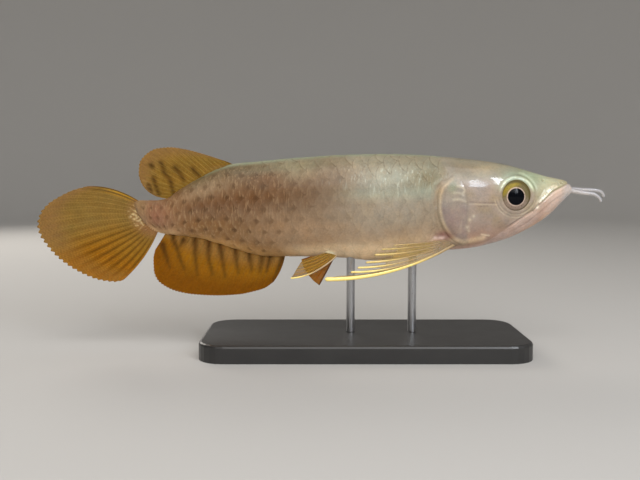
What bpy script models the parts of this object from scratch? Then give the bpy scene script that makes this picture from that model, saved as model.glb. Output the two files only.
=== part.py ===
"""A young Asian arowana at life size, as a still museum model on a small display stand.

The fish faces +X and +Y is its left side. The origin is on the floor, under the middle of the whole
length, from the tail fin's rear edge to the tips of the barbels. Sizes are in millimetres here, and
every mesh is written in metres.
"""

import math

import bmesh
import bpy
import numpy as np
from mathutils import Matrix, Vector
from mathutils.geometry import delaunay_2d_cdt

MM = 0.001
GAP = 0.3  # left between neighbouring pieces

# Body outline seen from the side, as (x, z) from the tail's end to the tip of the lower jaw.
BACK_LINE = [
    (-88.0, 70.3), (-80.0, 70.3), (-72.0, 71.0), (-67.0, 74.6), (-60.5, 78.5), (-52.5, 82.8),
    (-46.4, 85.6), (-40.3, 87.3), (-29.0, 88.4), (-9.0, 90.2), (16.0, 91.6), (32.0, 91.8),
    (47.0, 91.3), (60.0, 90.3), (70.0, 89.3), (79.0, 88.2), (88.0, 86.4), (97.0, 83.8),
    (106.0, 81.2), (111.0, 80.2), (113.3, 79.6), (115.0, 78.2), (116.6, 76.8), (117.3, 75.2),
]
BELLY_LINE = [
    (-88.0, 55.4), (-80.0, 54.4), (-74.6, 54.2), (-64.7, 53.6), (-56.7, 52.3), (-46.9, 49.6),
    (-38.9, 47.0), (-31.4, 44.9), (-24.0, 43.9), (-14.5, 43.9), (-4.0, 43.9), (6.0, 43.6),
    (14.0, 42.8), (24.0, 42.1), (37.0, 42.6), (50.0, 45.2), (59.0, 46.9), (66.0, 47.4),
    (72.0, 48.2), (79.3, 49.9), (88.2, 52.7), (97.0, 57.0), (102.0, 60.0), (106.5, 63.4),
    (112.0, 69.0), (115.4, 72.4), (116.8, 73.8), (117.3, 75.0),
]
HALF_WIDTH = [
    (-88.0, 1.5), (-84.0, 2.3), (-78.0, 3.1), (-70.0, 4.3), (-60.0, 5.9), (-45.0, 8.2),
    (-30.0, 10.1), (-15.0, 11.5), (0.0, 12.3), (20.0, 12.9), (40.0, 13.0), (56.0, 12.8),
    (66.0, 12.5), (76.0, 11.6), (84.0, 10.5), (91.0, 9.6), (97.0, 8.5), (103.0, 7.2),
    (108.0, 6.1), (112.0, 5.0), (114.5, 3.9), (116.3, 2.5), (117.1, 1.2), (117.3, 0.5),
]
# Where the widest point is, as a share of the height above the belly.
WIDEST_AT = [(-88.0, 0.5), (-60.0, 0.52), (-20.0, 0.58), (40.0, 0.6), (70.0, 0.56), (117.3, 0.52)]
# Roundness of each half of a cross-section: 2 is an ellipse, more is squarer, less is a keel.
BACK_ROUNDNESS = [(-88.0, 2.0), (-50.0, 2.0), (0.0, 2.15), (60.0, 2.3), (90.0, 2.6), (117.3, 2.2)]
BELLY_ROUNDNESS = [(-88.0, 1.9), (-50.0, 1.75), (20.0, 1.65), (60.0, 1.7), (90.0, 1.8), (117.3, 2.2)]

TAIL_END = -86.0  # where the top of the tail stalk stops
TAIL_SWEEP = 9.5  # how far further forward its underside stops
TAIL_SWEEP_FROM = -68.0
NOSE = 117.3

SECTION_STEPS = 14  # along each side of a cross-section, from keel to ridge
TRUNK_STEP = 6.4
HEAD_STEP = 2.8

# Scales: large, in rows that follow the lateral line and run out at the back and belly.
SCALES_FROM = 74.2  # where the first one's tip would be, under the head
SCALE_PITCH = [(-88.0, 3.6), (-74.0, 4.9), (-54.0, 6.5), (-20.0, 6.9), (60.0, 7.1)]  # length of scale that shows
ROW_HEIGHT = [(-88.0, 4.2), (-60.0, 4.9), (-20.0, 5.4), (20.0, 6.3), (60.0, 6.9)]
LATERAL_LINE = [(-88.0, 0.5), (-40.0, 0.48), (10.0, 0.5), (60.0, 0.56)]  # share of the way up the flank
SCALE_LIFT = 0.32  # how far a scale's rear edge stands above the flank
SCALE_DIP = 0.1  # how far the skin at its foot lies below
SCALE_STEP = 0.32  # distance in x between the raised edge and its foot
SCALE_BULGE = 0.44  # how far back its middle reaches past its ends, as a share of its length
SCALE_REACH = 0.95  # how far its edge runs to each side, in rows
BARE_EDGE = 2.2  # bare strip along the ridge and the keel
# Bare skin round the roots of the paired fins and where the rods meet the keel.
BARE_SPOTS = [
    ((56.0, 6.5, 51.5), 8.0), ((3.0, 3.0, 45.0), 6.0), ((43.0, 0.0, 43.6), 5.0), ((14.0, 0.0, 42.8), 5.0),
]

# The gill opening, seen from the side: the head ends and the trunk begins here.
GILL_LINE = [
    (62.4, 96.0), (61.0, 88.9), (59.7, 83.5), (56.7, 79.6), (54.1, 77.0), (52.6, 73.3),
    (52.4, 68.9), (53.0, 64.5), (54.4, 60.1), (56.7, 56.2), (59.5, 53.1), (62.1, 51.2),
    (65.0, 49.6), (68.0, 40.0),
]
# The front edge of the gill cover, from its top to its foot.
COVER_FRONT = [
    (61.6, 83.6), (63.2, 80.6), (64.9, 75.8), (66.0, 70.1), (66.4, 64.0), (67.0, 57.6), (66.6, 54.0), (64.4, 51.5),
]
COVER_TOP = 83.7
COVER_FOOT = 50.8
COVER_THICKNESS = 2.2
COVER_SWELL = 0.7  # how far its rear edge stands proud of the flank
# The mouth, from the tip to the corner, and then the jaw's rear edge down to the throat.
MOUTH_LINE = [
    (120.0, 79.4), (113.4, 77.7), (110.7, 76.3), (107.2, 74.6), (103.4, 71.4), (100.3, 69.0),
    (97.1, 65.8), (93.2, 63.2), (88.0, 59.6),
]
JAW_REAR = [(84.0, 56.5), (79.6, 52.3), (78.0, 40.0)]

TRUNK_FRONT = 72.0
TRUNK_REAR = -62.0
HEAD_REAR = 50.0

# Eye: its middle seen from the side, how deep that lies in the head, its radius and its half depth.
EYE_AT = (89.1, 73.0)
EYE_SINK = 1.9
EYE_RADIUS = 7.4
EYE_HALF_DEPTH = 3.6
EYE_SEGMENTS = 18
EYE_RINGS = 8
EYE_LEAN = (0.17, 0.05)  # it faces a little forward and up, as the side of the head does
ORBIT_RADIUS = 7.5  # the fold of skin round the eye
ORBIT_THICKNESS = 0.8
LIP_RADIUS = 0.95
# Upper jaw bone, a low ridge above the corner of the mouth, as (x, z, radius).
JAW_BONE = [(108.2, 77.0, 0.6), (105.6, 75.8, 1.0), (102.1, 72.2, 1.3), (99.5, 69.0, 1.3), (97.7, 66.8, 0.8)]
NOSTRILS = [((110.9, 78.3), 0.55), ((102.0, 79.5), 0.65)]

# Barbels: from the tip of the lower jaw, forward and curling down, as (x, distance to the side, z).
BARBEL_ROUTES = {
    "left": [
        (113.5, 1.3, 75.3), (116.0, 1.5, 75.4), (118.5, 1.7, 75.3), (122.5, 2.0, 75.1), (126.2, 2.3, 75.0),
        (129.0, 2.5, 74.9), (130.8, 2.6, 74.5), (132.1, 2.7, 73.3), (132.8, 2.8, 71.6),
    ],
    "right": [
        (113.5, 1.3, 75.3), (115.4, 1.6, 75.2), (117.0, 1.9, 74.8), (119.8, 2.3, 74.1), (122.6, 2.7, 73.7),
        (125.9, 3.1, 73.4), (128.0, 3.3, 72.4), (129.4, 3.4, 71.0), (129.9, 3.5, 69.5),
    ],
}
BARBEL_ROOT_RADIUS = 0.95
BARBEL_TIP_RADIUS = 0.35

# Fins. Each has the line of its ray roots and the line of its ray tips, both as (x, z).
SUNK = 2.5  # how deep a fin's rays start inside the body, before they are cut back to its skin
MEMBRANE = 0.5
RAY_THICKNESS = 1.0
LEADING_RAY = 1.4
RAY_STEPS = 5
SCALLOP = 0.02  # how far the membrane between two rays stops short of their tips, as a share of their length

DORSAL_RAYS = 19
DORSAL_LEAN = [(0.0, 0.05), (0.0, -0.05)]
DORSAL_ROOT = [(-41.5, 87.0), (-46.4, 85.5), (-52.5, 82.7), (-60.5, 78.4), (-67.0, 74.5), (-71.5, 71.2)]
DORSAL_EDGE = [
    (-46.0, 89.0), (-54.8, 91.8), (-63.3, 94.0), (-70.0, 94.9), (-76.5, 94.3), (-81.5, 91.6),
    (-84.6, 87.2), (-85.0, 82.4), (-83.6, 77.8), (-80.6, 74.1), (-77.5, 72.2),
]
ANAL_RAYS = 25
ANAL_LEAN = [(0.07, -0.05), (0.05, 0.05)]
ANAL_ROOT = [
    (-17.5, 43.9), (-24.0, 43.9), (-31.4, 44.9), (-38.9, 47.0), (-46.9, 49.6), (-56.7, 52.3),
    (-64.7, 53.6), (-73.5, 54.2),
]
ANAL_EDGE = [
    (-22.5, 31.7), (-26.5, 28.9), (-32.0, 27.2), (-39.0, 25.8), (-49.3, 25.3), (-59.5, 25.8),
    (-68.0, 27.3), (-73.6, 29.8), (-77.2, 32.9), (-78.8, 37.5), (-78.9, 42.5), (-78.0, 47.0),
]
CAUDAL_RAYS = 17
CAUDAL_LEAN = [(0.0, 0.025), (0.06, -0.03)]
CAUDAL_ROOT = [
    (-86.0, 69.6), (-86.0, 66.5), (-85.6, 63.0), (-84.4, 59.6), (-81.8, 56.6), (-77.5, 54.9),
]
CAUDAL_EDGE = [
    (-109.3, 76.8), (-116.1, 74.9), (-122.2, 72.0), (-127.3, 68.8), (-131.3, 64.2), (-132.8, 58.8),
    (-131.9, 54.4), (-129.2, 49.9), (-124.7, 44.5), (-118.6, 39.5), (-111.1, 35.3), (-103.5, 32.6),
    (-97.0, 31.9), (-93.3, 32.6),
]
# Paired fins, as (x, y, z) on the left side, from the leading ray to the last. Each ray has its own tip.
PECTORAL_ROOT = [(59.6, 5.0, 49.8), (58.6, 6.2, 51.4), (57.2, 7.2, 53.0)]
PECTORAL_TIPS = {
    "left": [
        (1.8, 24.5, 42.6), (13.2, 22.5, 44.6), (16.4, 21.3, 45.9), (20.2, 20.0, 47.2), (24.3, 18.6, 49.0),
        (27.4, 17.4, 50.4), (33.0, 16.0, 51.4),
    ],
    "right": [
        (1.8, 24.0, 36.3), (13.2, 22.0, 39.2), (16.4, 20.8, 41.1), (20.2, 19.4, 43.3), (24.3, 17.8, 46.6),
        (27.4, 16.8, 48.9), (33.0, 15.6, 50.5),
    ],
}
PECTORAL_BOW = {"left": 1.6, "right": 4.0}  # how far the leading ray bows down and out between its ends
PELVIC_ROOT = [(6.6, 2.0, 44.6), (5.0, 2.6, 45.4), (3.0, 3.0, 46.2)]
PELVIC_TIPS = {
    "left": [
        (-1.0, 7.5, 29.2), (-3.4, 8.0, 31.0), (-5.6, 8.2, 33.4), (-7.4, 8.3, 36.0), (-8.8, 8.2, 39.0), (-9.4, 8.0, 41.6),
    ],
    "right": [
        (-14.0, 9.5, 34.8), (-12.6, 9.6, 36.6), (-11.6, 9.5, 38.4), (-10.6, 9.3, 40.0), (-9.6, 9.0, 41.6),
        (-8.6, 8.6, 42.8),
    ],
}

# Display stand.
BASE_SIZE = (150.0, 64.0, 8.0)
BASE_CENTRE_X = 20.0
BASE_CORNER = 12.0
BASE_BEVEL = 1.2
ROD_RADIUS = 2.0
ROD_AT = {"front": 43.0, "rear": 14.0}
ROD_REACH = 2.0  # how far a rod's notched top rises past the keel

SIDES = {"left": 1, "right": -1}


def smooth(points, at):
    """The value at `at` of a smooth curve through (x, value) points in order of x, with no overshoot."""
    x, y = np.array(points, float).T
    step = np.diff(x)
    slope = np.diff(y) / step
    before, after = slope[:-1], slope[1:]
    turning = before * after <= 0
    weight_before = step[:-1] + 2 * step[1:]
    weight_after = 2 * step[:-1] + step[1:]
    safe_before = np.where(turning, 1.0, before)
    safe_after = np.where(turning, 1.0, after)
    mean = (weight_before + weight_after) / (weight_before / safe_before + weight_after / safe_after)
    tangent = np.concatenate([slope[:1], np.where(turning, 0.0, mean), slope[-1:]])
    at = np.clip(at, x[0], x[-1])
    i = np.clip(np.searchsorted(x, at) - 1, 0, len(step) - 1)
    t = (at - x[i]) / step[i]
    return (
        (2 * t**3 - 3 * t**2 + 1) * y[i]
        + (t**3 - 2 * t**2 + t) * step[i] * tangent[i]
        + (3 * t**2 - 2 * t**3) * y[i + 1]
        + (t**3 - t**2) * step[i] * tangent[i + 1]
    )


def along(points, count):
    """`count` points spaced evenly along a smooth curve through points of any dimension."""
    points = np.array(points, float)
    knots = np.concatenate([[0.0], np.cumsum(np.linalg.norm(np.diff(points, axis=0), axis=1))])
    fine = np.linspace(0.0, knots[-1], 20 * len(points))
    curve = np.stack([smooth(np.column_stack([knots, part]), fine) for part in points.T], axis=1)
    run = np.concatenate([[0.0], np.cumsum(np.linalg.norm(np.diff(curve, axis=0), axis=1))])
    wanted = np.linspace(0.0, run[-1], count)
    return np.stack([np.interp(wanted, run, part) for part in curve.T], axis=1)


def ease(share):
    """A smooth rise from 0 to 1."""
    share = np.clip(share, 0.0, 1.0)
    return share * share * (3 - 2 * share)


def section_curve(x):
    """The left side of the body's cross-section at x, from keel to ridge: y, z and the distance run."""
    back, belly = smooth(BACK_LINE, x), smooth(BELLY_LINE, x)
    width, middle = smooth(HALF_WIDTH, x), belly + smooth(WIDEST_AT, x) * (back - belly)
    angle = np.linspace(-math.pi / 2, math.pi / 2, 97)
    upper = angle >= 0
    power = np.where(upper, 2 / smooth(BACK_ROUNDNESS, x), 2 / smooth(BELLY_ROUNDNESS, x))
    reach = np.where(upper, back - middle, middle - belly)
    y = width * np.abs(np.cos(angle)) ** power
    z = middle + reach * np.sign(angle) * np.abs(np.sin(angle)) ** power
    return y, z, np.concatenate([[0.0], np.cumsum(np.hypot(np.diff(y), np.diff(z)))])


def section(x):
    """Points (y, z) of the left side of the cross-section at x, evenly spaced from keel to ridge."""
    y, z, run = section_curve(x)
    wanted = np.linspace(0.0, run[-1], SECTION_STEPS + 1)
    return np.column_stack([np.interp(wanted, run, y), np.interp(wanted, run, z)])


def flank_limits(x):
    """Distances from the lateral line down to the keel and up to the ridge, as negative and positive."""
    run = section_curve(x)[2]
    line = smooth(LATERAL_LINE, x) * run[-1]
    return -line, run[-1] - line


def flank_point(x, up, lift):
    """The point of the left flank at x, `up` from the lateral line, lifted off the skin."""
    y, z, run = section_curve(x)
    at = up + smooth(LATERAL_LINE, x) * run[-1]
    near = np.clip([at - 0.6, at + 0.6], 0.0, run[-1])
    dy, dz = np.diff(np.interp(near, run, y))[0], np.diff(np.interp(near, run, z))[0]
    edge = math.hypot(dy, dz)
    at_y, at_z = np.interp(at, run, y), np.interp(at, run, z)
    return x, at_y + lift * dz / edge, at_z - lift * dy / edge


def side_y(x, z):
    """How far the left flank is from the middle plane at a point of the side view."""
    y, height, _ = section_curve(x)
    return float(np.interp(z, height, y))


def swept(x, z):
    """Where a point of the body goes, as the tail stalk's underside stops further forward than its top."""
    back, belly = smooth(BACK_LINE, x), smooth(BELLY_LINE, x)
    below_top = (back - z) / (back - belly)
    fade = ease((TAIL_SWEEP_FROM - x) / (TAIL_SWEEP_FROM - TAIL_END))
    return x + TAIL_SWEEP * below_top**2 * fade


def new_object(name, vertices, faces):
    """A mesh object from points in millimetres."""
    mesh = bpy.data.meshes.new(name)
    mesh.from_pydata([tuple(np.array(v, float) * MM) for v in vertices], [], faces)
    mesh.update()
    obj = bpy.data.objects.new(name, mesh)
    bpy.context.scene.collection.objects.link(obj)
    return obj


def stations(first, last, step):
    """Places of cross-sections from first to last, about one step apart."""
    return np.linspace(first, last, max(2, round(abs(last - first) / step)) + 1)


def body_length(name, places, grow=0.0, swell=None):
    """A closed length of the body through the cross-sections at `places`, thicker all round by `grow`.

    swell(x, z) adds its own thickness where a piece stands proud of the flank.
    """
    rings = []
    for x in places:
        side = section(x)
        edge = np.gradient(side, axis=0)
        outward = np.column_stack([edge[:, 1], -edge[:, 0]])
        outward /= np.linalg.norm(outward, axis=1)[:, None]
        outward[0], outward[-1] = (0.0, -1.0), (0.0, 1.0)
        more = grow + (np.array([swell(x, z) for z in side[:, 1]]) if swell else 0.0)
        grown = side + outward * np.reshape(more, (-1, 1) if np.ndim(more) else (1, 1))
        grown[0, 0] = grown[-1, 0] = 0.0
        across = [(swept(x, z), y, z) for y, z in grown]
        left = across
        right = [(px, -py, pz) for px, py, pz in across[-2:0:-1]]
        rings.append(left + right)
    count = len(rings[0])
    vertices = [p for ring in rings for p in ring]
    faces = []
    for i in range(len(rings) - 1):
        a, b = i * count, (i + 1) * count
        for j in range(count):
            k = (j + 1) % count
            faces.append((a + j, b + k, b + j))
            faces.append((a + j, a + k, b + k))
    for start, front in ((0, False), ((len(rings) - 1) * count, True)):
        for j in range(SECTION_STEPS):
            low_left, high_left = start + j, start + j + 1
            low_right, high_right = start + (count - j) % count, start + (count - j - 1) % count
            ring = [low_left, high_left, high_right, low_right]
            corners = [c for n, c in enumerate(ring) if c not in ring[:n]]
            faces.append(corners if front else corners[::-1])
    return new_object(name, vertices, faces)


def prism(name, outline, reach=40.0):
    """A side view outline of (x, z) points, extruded through the body."""
    count = len(outline)
    vertices = [(x, -reach, z) for x, z in outline] + [(x, reach, z) for x, z in outline]
    faces = [tuple(range(count)), tuple(range(2 * count - 1, count - 1, -1))]
    faces += [(i, i + count, (i + 1) % count + count, (i + 1) % count) for i in range(count)]
    obj = new_object(name, vertices, faces)
    tidy_normals(obj)
    return obj


def tidy_normals(obj):
    """Turns all faces of a closed mesh outwards."""
    shape = bmesh.new()
    shape.from_mesh(obj.data)
    bmesh.ops.recalc_face_normals(shape, faces=shape.faces)
    shape.to_mesh(obj.data)
    shape.free()


def shifted(line, distance):
    """An (x, z) line moved sideways by a distance, to the left of its own direction."""
    line = np.array(line, float)
    step = np.gradient(line, axis=0)
    step /= np.linalg.norm(step, axis=1)[:, None]
    return [tuple(p) for p in line + distance * np.column_stack([-step[:, 1], step[:, 0]])]


def grown(outline, distance):
    """A closed outline of (x, z) points, moved outwards all round by a distance."""
    points = np.array(outline, float)
    after = np.roll(points, -1, axis=0) - points
    area = np.sum(points[:, 0] * np.roll(points[:, 1], -1) - points[:, 1] * np.roll(points[:, 0], -1))
    normal = np.column_stack([after[:, 1], -after[:, 0]]) * np.sign(area)
    normal /= np.linalg.norm(normal, axis=1)[:, None]
    before = np.roll(normal, 1, axis=0)
    meeting = 1 + np.sum(normal * before, axis=1)
    return [tuple(p) for p in points + distance * (normal + before) / meeting[:, None]]


def combine(obj, other, operation, keep_other=False):
    """Applies one Boolean to obj."""
    modifier = obj.modifiers.new(operation.lower(), "BOOLEAN")
    modifier.operation = operation
    modifier.solver = "EXACT"
    modifier.object = other
    bpy.context.view_layer.update()
    graph = bpy.context.evaluated_depsgraph_get()
    result = bpy.data.meshes.new_from_object(obj.evaluated_get(graph))
    obj.modifiers.clear()
    old, obj.data = obj.data, result
    bpy.data.meshes.remove(old)
    if not keep_other:
        bpy.data.objects.remove(other)
    return obj


def copy_of(obj, name):
    twin = bpy.data.objects.new(name, obj.data.copy())
    bpy.context.scene.collection.objects.link(twin)
    return twin


def keep_largest(obj):
    """Drops every loose scrap but the largest closed surface."""
    shape = bmesh.new()
    shape.from_mesh(obj.data)
    bmesh.ops.remove_doubles(shape, verts=shape.verts, dist=0.0005 * MM)
    waiting, islands = set(shape.verts), []
    while waiting:
        island, edge = set(), [waiting.pop()]
        while edge:
            vertex = edge.pop()
            island.add(vertex)
            for link in vertex.link_edges:
                other = link.other_vert(vertex)
                if other in waiting:
                    waiting.discard(other)
                    edge.append(other)
        islands.append(island)
    islands.sort(key=len)
    scraps = [v for island in islands[:-1] for v in island]
    bmesh.ops.delete(shape, geom=scraps, context="VERTS")
    bmesh.ops.triangulate(shape, faces=shape.faces)
    shape.to_mesh(obj.data)
    shape.free()
    return obj


def finish(obj, colour, roughness, metallic=0.0, smooth_angle=40.0):
    """Gives a finished piece its name's mesh, shading and material."""
    obj.data.name = obj.name
    obj.data.shade_smooth()
    obj.data.set_sharp_from_angle(angle=math.radians(smooth_angle))
    material = bpy.data.materials.new(obj.name)
    material.use_nodes = True
    shader = material.node_tree.nodes["Principled BSDF"]
    shader.inputs["Base Color"].default_value = (*colour, 1.0)
    shader.inputs["Roughness"].default_value = roughness
    shader.inputs["Metallic"].default_value = metallic
    obj.data.materials.clear()
    obj.data.materials.append(material)
    return obj


SILVER_SKIN = (0.52, 0.45, 0.36)
PINK_SKIN = (0.56, 0.42, 0.36)
FIN_SKIN = (0.45, 0.27, 0.07)
CREAM_FIN = (0.72, 0.58, 0.3)
BARBEL_SKIN = (0.66, 0.63, 0.6)
EYE_BLACK = (0.02, 0.02, 0.025)
BASE_GREY = (0.55, 0.54, 0.52)
STEEL = (0.6, 0.6, 0.6)


def cover_swell(x, z):
    """The gill cover lies flush at its front edge and lifts away from the flank at its rear."""
    return COVER_SWELL * ease((69.0 - x) / 13.0)


def jaw_outline(grow):
    upper = shifted(MOUTH_LINE + JAW_REAR, -grow)
    return upper + [(130.0, 40.0), (130.0, upper[0][1])]


def head_pieces():
    """The head, the lower jaw and the gill covers, parted from one shape by thin cuts."""
    places = np.concatenate([
        stations(HEAD_REAR, 108.0, HEAD_STEP), [110.5, 112.5, 114.0, 115.3, 116.3, 117.0, NOSE],
    ])
    whole = body_length("whole_head", places)
    for sign in SIDES.values():
        combine(whole, lips(sign), "UNION")
        combine(whole, jaw_bone(sign), "UNION")
        combine(whole, orbit(sign), "UNION")

    jaw = combine(copy_of(whole, "lower_jaw"), prism("jaw_cut", jaw_outline(0.0)), "INTERSECT")

    gill_edge = shifted(along(GILL_LINE, 22), GAP)
    in_front = gill_edge + [(130.0, 30.0), (130.0, 110.0)]
    head = combine(copy_of(whole, "head"), prism("head_cut", in_front), "INTERSECT")
    combine(head, prism("jaw_room", jaw_outline(GAP)), "DIFFERENCE")

    rear_edge = [p for p in gill_edge if COVER_FOOT < p[1] < COVER_TOP]
    cover_outline = rear_edge + [tuple(p) for p in along(COVER_FRONT, 12)[::-1]]
    core = body_length("under_cover", places, grow=-COVER_THICKNESS)
    room_core = body_length("under_room", places, grow=-COVER_THICKNESS - GAP)
    covers = combine(prism("cover_shape", cover_outline), core, "DIFFERENCE")
    room = combine(prism("cover_room", grown(cover_outline, GAP)), room_core, "DIFFERENCE")
    combine(head, room, "DIFFERENCE")
    proud = body_length("proud_head", places, swell=cover_swell)
    for side, sign in SIDES.items():
        half = prism(f"half_{side}", [(40.0, 30.0), (90.0, 30.0), (90.0, 110.0), (40.0, 110.0)], 20.0)
        half.data.transform(Matrix.Translation((0.0, sign * 20.5 * MM, 0.0)))
        cover = combine(copy_of(proud, f"gill_cover_{side}"), covers, "INTERSECT", keep_other=True)
        combine(cover, half, "INTERSECT")
        finish(keep_largest(cover), SILVER_SKIN, 0.3)
    for helper in (covers, proud, whole):
        bpy.data.objects.remove(helper)

    for sign in SIDES.values():
        combine(head, eye_ball("socket", sign, GAP), "DIFFERENCE")
        for (x, z), radius in NOSTRILS:
            combine(head, nostril(x, z, radius, sign), "DIFFERENCE")
    finish(keep_largest(head), SILVER_SKIN, 0.3)
    finish(keep_largest(jaw), PINK_SKIN, 0.35)


def lips(sign):
    """A rounded ridge along the mouth, which the mouth's own cut parts into two lips."""
    line = [p for p in MOUTH_LINE if p[0] < NOSE - 1.5]
    route = along([(x, side_y(x, z) - 0.25, z) for x, z in line], 11)
    return tube("lips", route, np.linspace(LIP_RADIUS, 0.5 * LIP_RADIUS, 11), sign, sides=6)


def jaw_bone(sign):
    """The upper jaw's bone, low under the skin."""
    line = [(x, side_y(x, z) + 0.45 - radius, z, radius) for x, z, radius in JAW_BONE]
    route = along(line, 8)
    return tube("jaw_bone", route[:, :3], route[:, 3], sign, sides=6)


def orbit(sign):
    """The fold of skin round the eye."""
    around, across = 24, 6
    x, z = EYE_AT
    centre = np.array([x, side_y(x, z) - 0.1, z])
    vertices = []
    for i in range(around):
        a = 2 * math.pi * i / around
        outward = np.array([math.cos(a), -EYE_LEAN[0] * math.cos(a) - EYE_LEAN[1] * math.sin(a), math.sin(a)])
        for j in range(across):
            b = 2 * math.pi * j / across
            offset = outward * (ORBIT_RADIUS + 1.4 * ORBIT_THICKNESS * math.cos(b))
            p = centre + offset + np.array([0.0, ORBIT_THICKNESS * math.sin(b), 0.0])
            vertices.append((p[0], sign * p[1], p[2]))
    faces = []
    for i in range(around):
        for j in range(across):
            a, b = i * across, (i + 1) % around * across
            k = (j + 1) % across
            faces.append((a + j, b + j, b + k, a + k))
    obj = new_object("orbit", vertices, faces)
    tidy_normals(obj)
    return obj


def nostril(x, z, radius, sign):
    """A small pit in the snout."""
    mesh = bpy.data.meshes.new("nostril")
    shape = bmesh.new()
    bmesh.ops.create_icosphere(shape, subdivisions=1, radius=radius * MM)
    place = Vector((x, sign * side_y(x, z), z)) * MM
    bmesh.ops.translate(shape, verts=shape.verts, vec=place)
    shape.to_mesh(mesh)
    shape.free()
    obj = bpy.data.objects.new("nostril", mesh)
    bpy.context.scene.collection.objects.link(obj)
    return obj


def eye_ball(name, sign, grow=0.0):
    """An eye as a flattened ball whose rings run round the line of sight."""
    mesh = bpy.data.meshes.new(name)
    shape = bmesh.new()
    bmesh.ops.create_uvsphere(shape, u_segments=EYE_SEGMENTS, v_segments=EYE_RINGS, radius=1.0)
    bmesh.ops.rotate(shape, verts=shape.verts, matrix=Matrix.Rotation(math.pi / 2, 3, "X"))
    radius, depth = EYE_RADIUS + grow, EYE_HALF_DEPTH + grow
    bmesh.ops.scale(shape, verts=shape.verts, vec=Vector((radius, depth, radius)) * MM)
    for vertex in shape.verts:
        vertex.co.y -= sign * (EYE_LEAN[0] * vertex.co.x + EYE_LEAN[1] * vertex.co.z)
    x, z = EYE_AT
    place = Vector((x, sign * (side_y(x, z) - EYE_SINK), z)) * MM
    bmesh.ops.translate(shape, verts=shape.verts, vec=place)
    bmesh.ops.triangulate(shape, faces=shape.faces)
    shape.to_mesh(mesh)
    shape.free()
    obj = bpy.data.objects.new(name, mesh)
    bpy.context.scene.collection.objects.link(obj)
    return obj


def scale_tips():
    """Where the rear tips of the scales of an even row are along the body, from the head back."""
    tips = [SCALES_FROM]
    while tips[-1] > TAIL_END:
        tips.append(tips[-1] - float(smooth(SCALE_PITCH, tips[-1])))
    return tips


def bareness(point):
    """0 on the bare spots, rising to 1."""
    far = [ease((math.dist(point, centre) / radius - 0.7) / 0.5) for centre, radius in BARE_SPOTS]
    return float(min(far))


def scale_edges(first, last):
    """The raised edge and the foot of every scale between two places, as lists of (x, up, lift)."""
    edges = []
    offsets = SCALE_REACH * np.linspace(-1.0, 1.0, 5)
    tips = scale_tips()
    for row in range(-7, 8):
        for number in range(len(tips) - 2):
            place = number + 0.5 * (row % 2)
            tip, behind = np.interp([place, place + 1], range(len(tips)), tips)
            length = tip - behind
            raised = []
            for offset in offsets:
                x = tip + SCALE_BULGE * length * abs(offset) ** 2.2
                up = (row + offset) * smooth(ROW_HEIGHT, x)
                low, high = flank_limits(x)
                if first + 0.8 < x - SCALE_STEP and x < last - 0.8 and low + BARE_EDGE < up < high - BARE_EDGE:
                    fade = (1 - abs(offset) ** 4) * bareness(flank_point(x, up, 0.0))
                    raised.append((x, up, SCALE_LIFT * fade, abs(offset) < SCALE_REACH))
            if len(raised) > 1:
                edges.append([point[:3] for point in raised])
                foot = [(x - SCALE_STEP, up, -SCALE_DIP * lift / SCALE_LIFT) for x, up, lift, inner in raised if inner]
                edges.append(foot)
    return edges


def scaled_body(name, first, last):
    """A closed length of the body with its scales, triangulated along their edges."""
    points, links = [], []

    def add(line):
        start = len(points)
        points.extend(line)
        links.extend((start + n, start + n + 1) for n in range(len(line) - 1))

    places = stations(first, last, 3.4)
    limits = [flank_limits(x) for x in places]
    ends = {}
    for x in (first, last):
        low, high = flank_limits(x)
        ends[x] = [(x, up, 0.0) for up in np.linspace(low, high, 11)]
    border = [(x, low, 0.0) for x, (low, _) in zip(places, limits)][:-1] + ends[last][:-1]
    border += [(x, high, 0.0) for x, (_, high) in zip(places, limits)][:0:-1] + ends[first][:0:-1]
    add(border + border[:1])
    points.pop()
    links[-1] = (len(points) - 1, 0)
    for edge in scale_edges(first, last):
        add(edge)
    flat = [Vector((x, up)) for x, up, _ in points]
    spots, _, triangles, sources, _, _ = delaunay_2d_cdt(flat, links, [], 1, 1e-5)

    left = []
    for spot, source in zip(spots, sources):
        lift = points[source[0]][2] if source else 0.0
        x, y, z = flank_point(spot.x, spot.y, lift)
        low, high = flank_limits(spot.x)
        on_edge = min(spot.y - low, high - spot.y) < 1e-3
        left.append((swept(x, z), 0.0 if on_edge else y, z))
    middle = {n for n, p in enumerate(left) if p[1] == 0.0}
    twins = {}
    vertices = list(left)
    for n, (x, y, z) in enumerate(left):
        twins[n] = n if n in middle else len(vertices)
        if n not in middle:
            vertices.append((x, -y, z))
    faces = [tuple(t) for t in triangles] + [tuple(twins[v] for v in t[::-1]) for t in triangles]
    for x in (first, last):
        rim = sorted((n for n, spot in enumerate(spots) if abs(spot.x - x) < 1e-4), key=lambda n: spots[n].y)
        for a, b in zip(rim, rim[1:]):
            corners = [a, b, twins[b], twins[a]]
            faces.append([c for n, c in enumerate(corners) if c not in corners[:n]])
    obj = new_object(name, vertices, faces)
    tidy_normals(obj)
    return obj


def trunk_pieces():
    """The trunk behind the gill opening, and the tail stalk, whose end is swept."""
    trunk = scaled_body("trunk", TRUNK_REAR + GAP / 2, TRUNK_FRONT)
    behind = [tuple(p) for p in along(GILL_LINE, 22)] + [(-100.0, 40.0), (-100.0, 96.0)]
    combine(trunk, prism("trunk_cut", behind), "INTERSECT")
    finish(keep_largest(trunk), SILVER_SKIN, 0.35)
    tail = scaled_body("tail_stalk", TAIL_END, TRUNK_REAR - GAP / 2)
    finish(tail, SILVER_SKIN, 0.35)


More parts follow.
